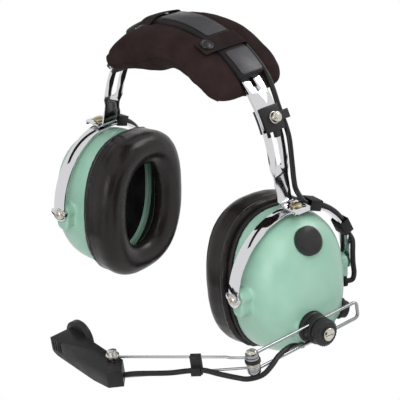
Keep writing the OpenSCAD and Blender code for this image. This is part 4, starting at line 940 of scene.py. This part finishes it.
# each part's steps of the route, the nodes it stands for, and the body it rides or the two it joins
micCord = [
    {"name": "micCordExit", "steps": (0, 18), "stands": ["mic_cord_inner"],
     "across": ("cup_left", "boom_swivel"), "held": (3, 17)},
    {"name": "micCordInner", "steps": (18, 34), "stands": ["mic_cord_inner"],
     "across": ("boom_swivel", "inner_boom"), "held": (19, 33)},
    {"name": "micCordBend", "steps": (34, 48), "stands": ["mic_cord_inner", "mic_cord_outer"],
     "across": ("inner_boom", "outer_boom"), "held": (36, 44)},
    {"name": "micCordRun", "steps": (48, 67), "stands": ["mic_cord_outer"], "body": "outer_boom"},
    {"name": "micCordEnd", "steps": (67, micEnd), "stands": ["mic_cord_outer"],
     "across": ("outer_boom", "microphone"), "held": (69, 80)},
]
for part in micCord:
    first, last = part["steps"]
    ends = [micRoute[min(step, micEnd - 1)] for step in part.get("held", ())]
    heldCord(part["name"], micRoute[first:last + 1], part["stands"], part.get("body"), part.get("across"),
             ends)
for side, route in seamRoutes.items():
    piping = tube(side + "PadSeam", smoothRoute(route, seamShape["steps"]), seamShape["thickness"],
                  seamShape["sides"])
    dress(piping, tabWeb, "headband", (), 60)
print("cords laid")

studio = {"floor": "E8E8E8", "floorRough": 0.9, "floorSize": 9.0, "floorHeight": -0.42,
          "sky": (0.82, 0.82, 0.84, 1), "skyStrength": 0.42, "white": (1, 1, 1, 1)}


def seenDirectly(owner):  # 1 for the camera, for reflections and through glass
    path = addNode(owner, "ShaderNodeLightPath")
    seen = path.outputs["Is Camera Ray"]
    for ray in ("Is Glossy Ray", "Is Transmission Ray"):
        larger = addNode(owner, "ShaderNodeMath", {0: seen, 1: path.outputs[ray]}, operation="MAXIMUM")
        seen = larger.outputs[0]
    return seen


def floorFinish():  # matt paper that lights as it is and looks white
    finish, shader = newFinish("matPaperFloor", {"Base Color": toLinear(studio["floor"]),
                                                 "Roughness": studio["floorRough"]})
    glow = addNode(finish, "ShaderNodeEmission", {"Color": studio["white"], "Strength": 1.0})
    mix = addNode(finish, "ShaderNodeMixShader", {0: seenDirectly(finish), 1: shader.outputs[0],
                                                  2: glow.outputs[0]})
    finish.node_tree.links.new(mix.outputs[0], finish.node_tree.nodes["Material Output"].inputs["Surface"])
    return finish


bpy.ops.mesh.primitive_plane_add(size=studio["floorSize"], location=(0, 0, studio["floorHeight"]))
floor = bpy.context.active_object
floor.name = "studioFloor"
floor.data.materials.append(floorFinish())

world = bpy.data.worlds.new("studio")
bpy.context.scene.world = world
world.use_nodes = True
background = world.node_tree.nodes["Background"]
background.inputs["Color"].default_value = studio["sky"]
background.inputs["Strength"].default_value = studio["skyStrength"]
white = addNode(world, "ShaderNodeBackground", {"Color": studio["white"], "Strength": 1.0})
mix = addNode(world, "ShaderNodeMixShader", {0: seenDirectly(world), 1: background.outputs[0],
                                             2: white.outputs[0]})
world.node_tree.links.new(mix.outputs[0], world.node_tree.nodes["World Output"].inputs["Surface"])

viewAt = {"azimuth": 47.15, "elevation": 25.86, "distance": 1.4636, "centre": (0, 0, -0.127),
          "lens": 194.95, "sensor": 36, "shift": (0.017, 0.085), "clip": 50}
cameraData = bpy.data.cameras.new("camera")
camera = bpy.data.objects.new("camera", cameraData)
bpy.context.scene.collection.objects.link(camera)
bpy.context.scene.camera = camera
azimuth, elevation = math.radians(viewAt["azimuth"]), math.radians(viewAt["elevation"])
outward = Vector((math.sin(azimuth) * math.cos(elevation), -math.cos(azimuth) * math.cos(elevation),
                  math.sin(elevation)))
camera.location = Vector(viewAt["centre"]) + viewAt["distance"] * outward
camera.rotation_euler = outward.to_track_quat("Z", "Y").to_euler()
cameraData.lens = viewAt["lens"]
cameraData.sensor_width = viewAt["sensor"]
cameraData.shift_x, cameraData.shift_y = viewAt["shift"]
cameraData.clip_end = viewAt["clip"]

lampTarget = (0, 0, -0.1)
lamps = [
    {"name": "keySoftbox", "place": (1.2, -0.9, 1.2), "size": 1.4, "power": 36, "mirrored": False},
    {"name": "fillSoftbox", "place": (0.5, -1.6, 0.2), "size": 0.9, "power": 7, "mirrored": True},
    {"name": "rimSoftbox", "place": (0.5, 1.3, 1.2), "size": 0.8, "power": 10, "mirrored": True},
]
for lamp in lamps:
    data = bpy.data.lights.new(lamp["name"], "AREA")
    data.size = lamp["size"]
    data.energy = lamp["power"]
    obj = bpy.data.objects.new(lamp["name"], data)
    obj.location = lamp["place"]
    obj.rotation_euler = (Vector(lamp["place"]) - Vector(lampTarget)).to_track_quat("Z", "Y").to_euler()
    obj.visible_glossy = lamp["mirrored"]
    bpy.context.scene.collection.objects.link(obj)

# black cards that only the bright metal mirrors, each set off from a point of the headset
cards = [
    {"name": "strapUpperCard", "source": (0.0833, 0, -0.0578), "direction": (0.784, 0.613, -0.092),
     "distance": 0.2, "width": 0.2, "height": 0.0088},
    {"name": "strapLowerCard", "source": (0.0866, 0, -0.0712), "direction": (0.784, 0.613, -0.092),
     "distance": 0.2, "width": 0.2, "height": 0.0072},
    {"name": "cameraCard", "source": (0, 0, -0.1), "direction": (0.657, -0.613, 0.2),
     "distance": 2.3, "width": 2.6, "height": 1.5},
    {"name": "floorCard", "source": (-0.09, 0, -0.06), "direction": (0.22, 0.61, -0.62),
     "distance": 0.42, "width": 0.3, "height": 0.12},
    {"name": "highLeftCard", "source": (0.09, -0.02, -0.08), "direction": (-0.657, 0.613, 0.40),
     "distance": 0.6, "width": 0.3, "height": 0.12},
    {"name": "highFrontCard", "source": (0, -0.03, -0.08), "direction": (-0.657, 0.05, 0.66),
     "distance": 0.9, "width": 1.4, "height": 0.16},
    {"name": "floorFrontCard", "source": (0.0, -0.05, -0.1), "direction": (-0.62, -0.61, -0.5),
     "distance": 0.42, "width": 0.5, "height": 0.05},
]
cardFelt, _ = newFinish("blackFelt", {"Base Color": toLinear("101010"), "Roughness": 1.0})
for spec in cards:
    direction = Vector(spec["direction"]).normalized()
    bpy.ops.mesh.primitive_plane_add(size=1.0)
    card = bpy.context.active_object
    card.name = spec["name"]
    card.data.transform(Matrix.Translation(Vector(spec["source"]) + direction * spec["distance"])
                        @ direction.to_track_quat("Z", "Y").to_matrix().to_4x4()
                        @ Matrix.Diagonal((spec["width"], spec["height"], 1, 1)))
    card.data.materials.append(cardFelt)
    card.visible_camera = card.visible_diffuse = card.visible_shadow = False

bpy.context.scene.view_settings.view_transform = "Standard"
print("stage lit")
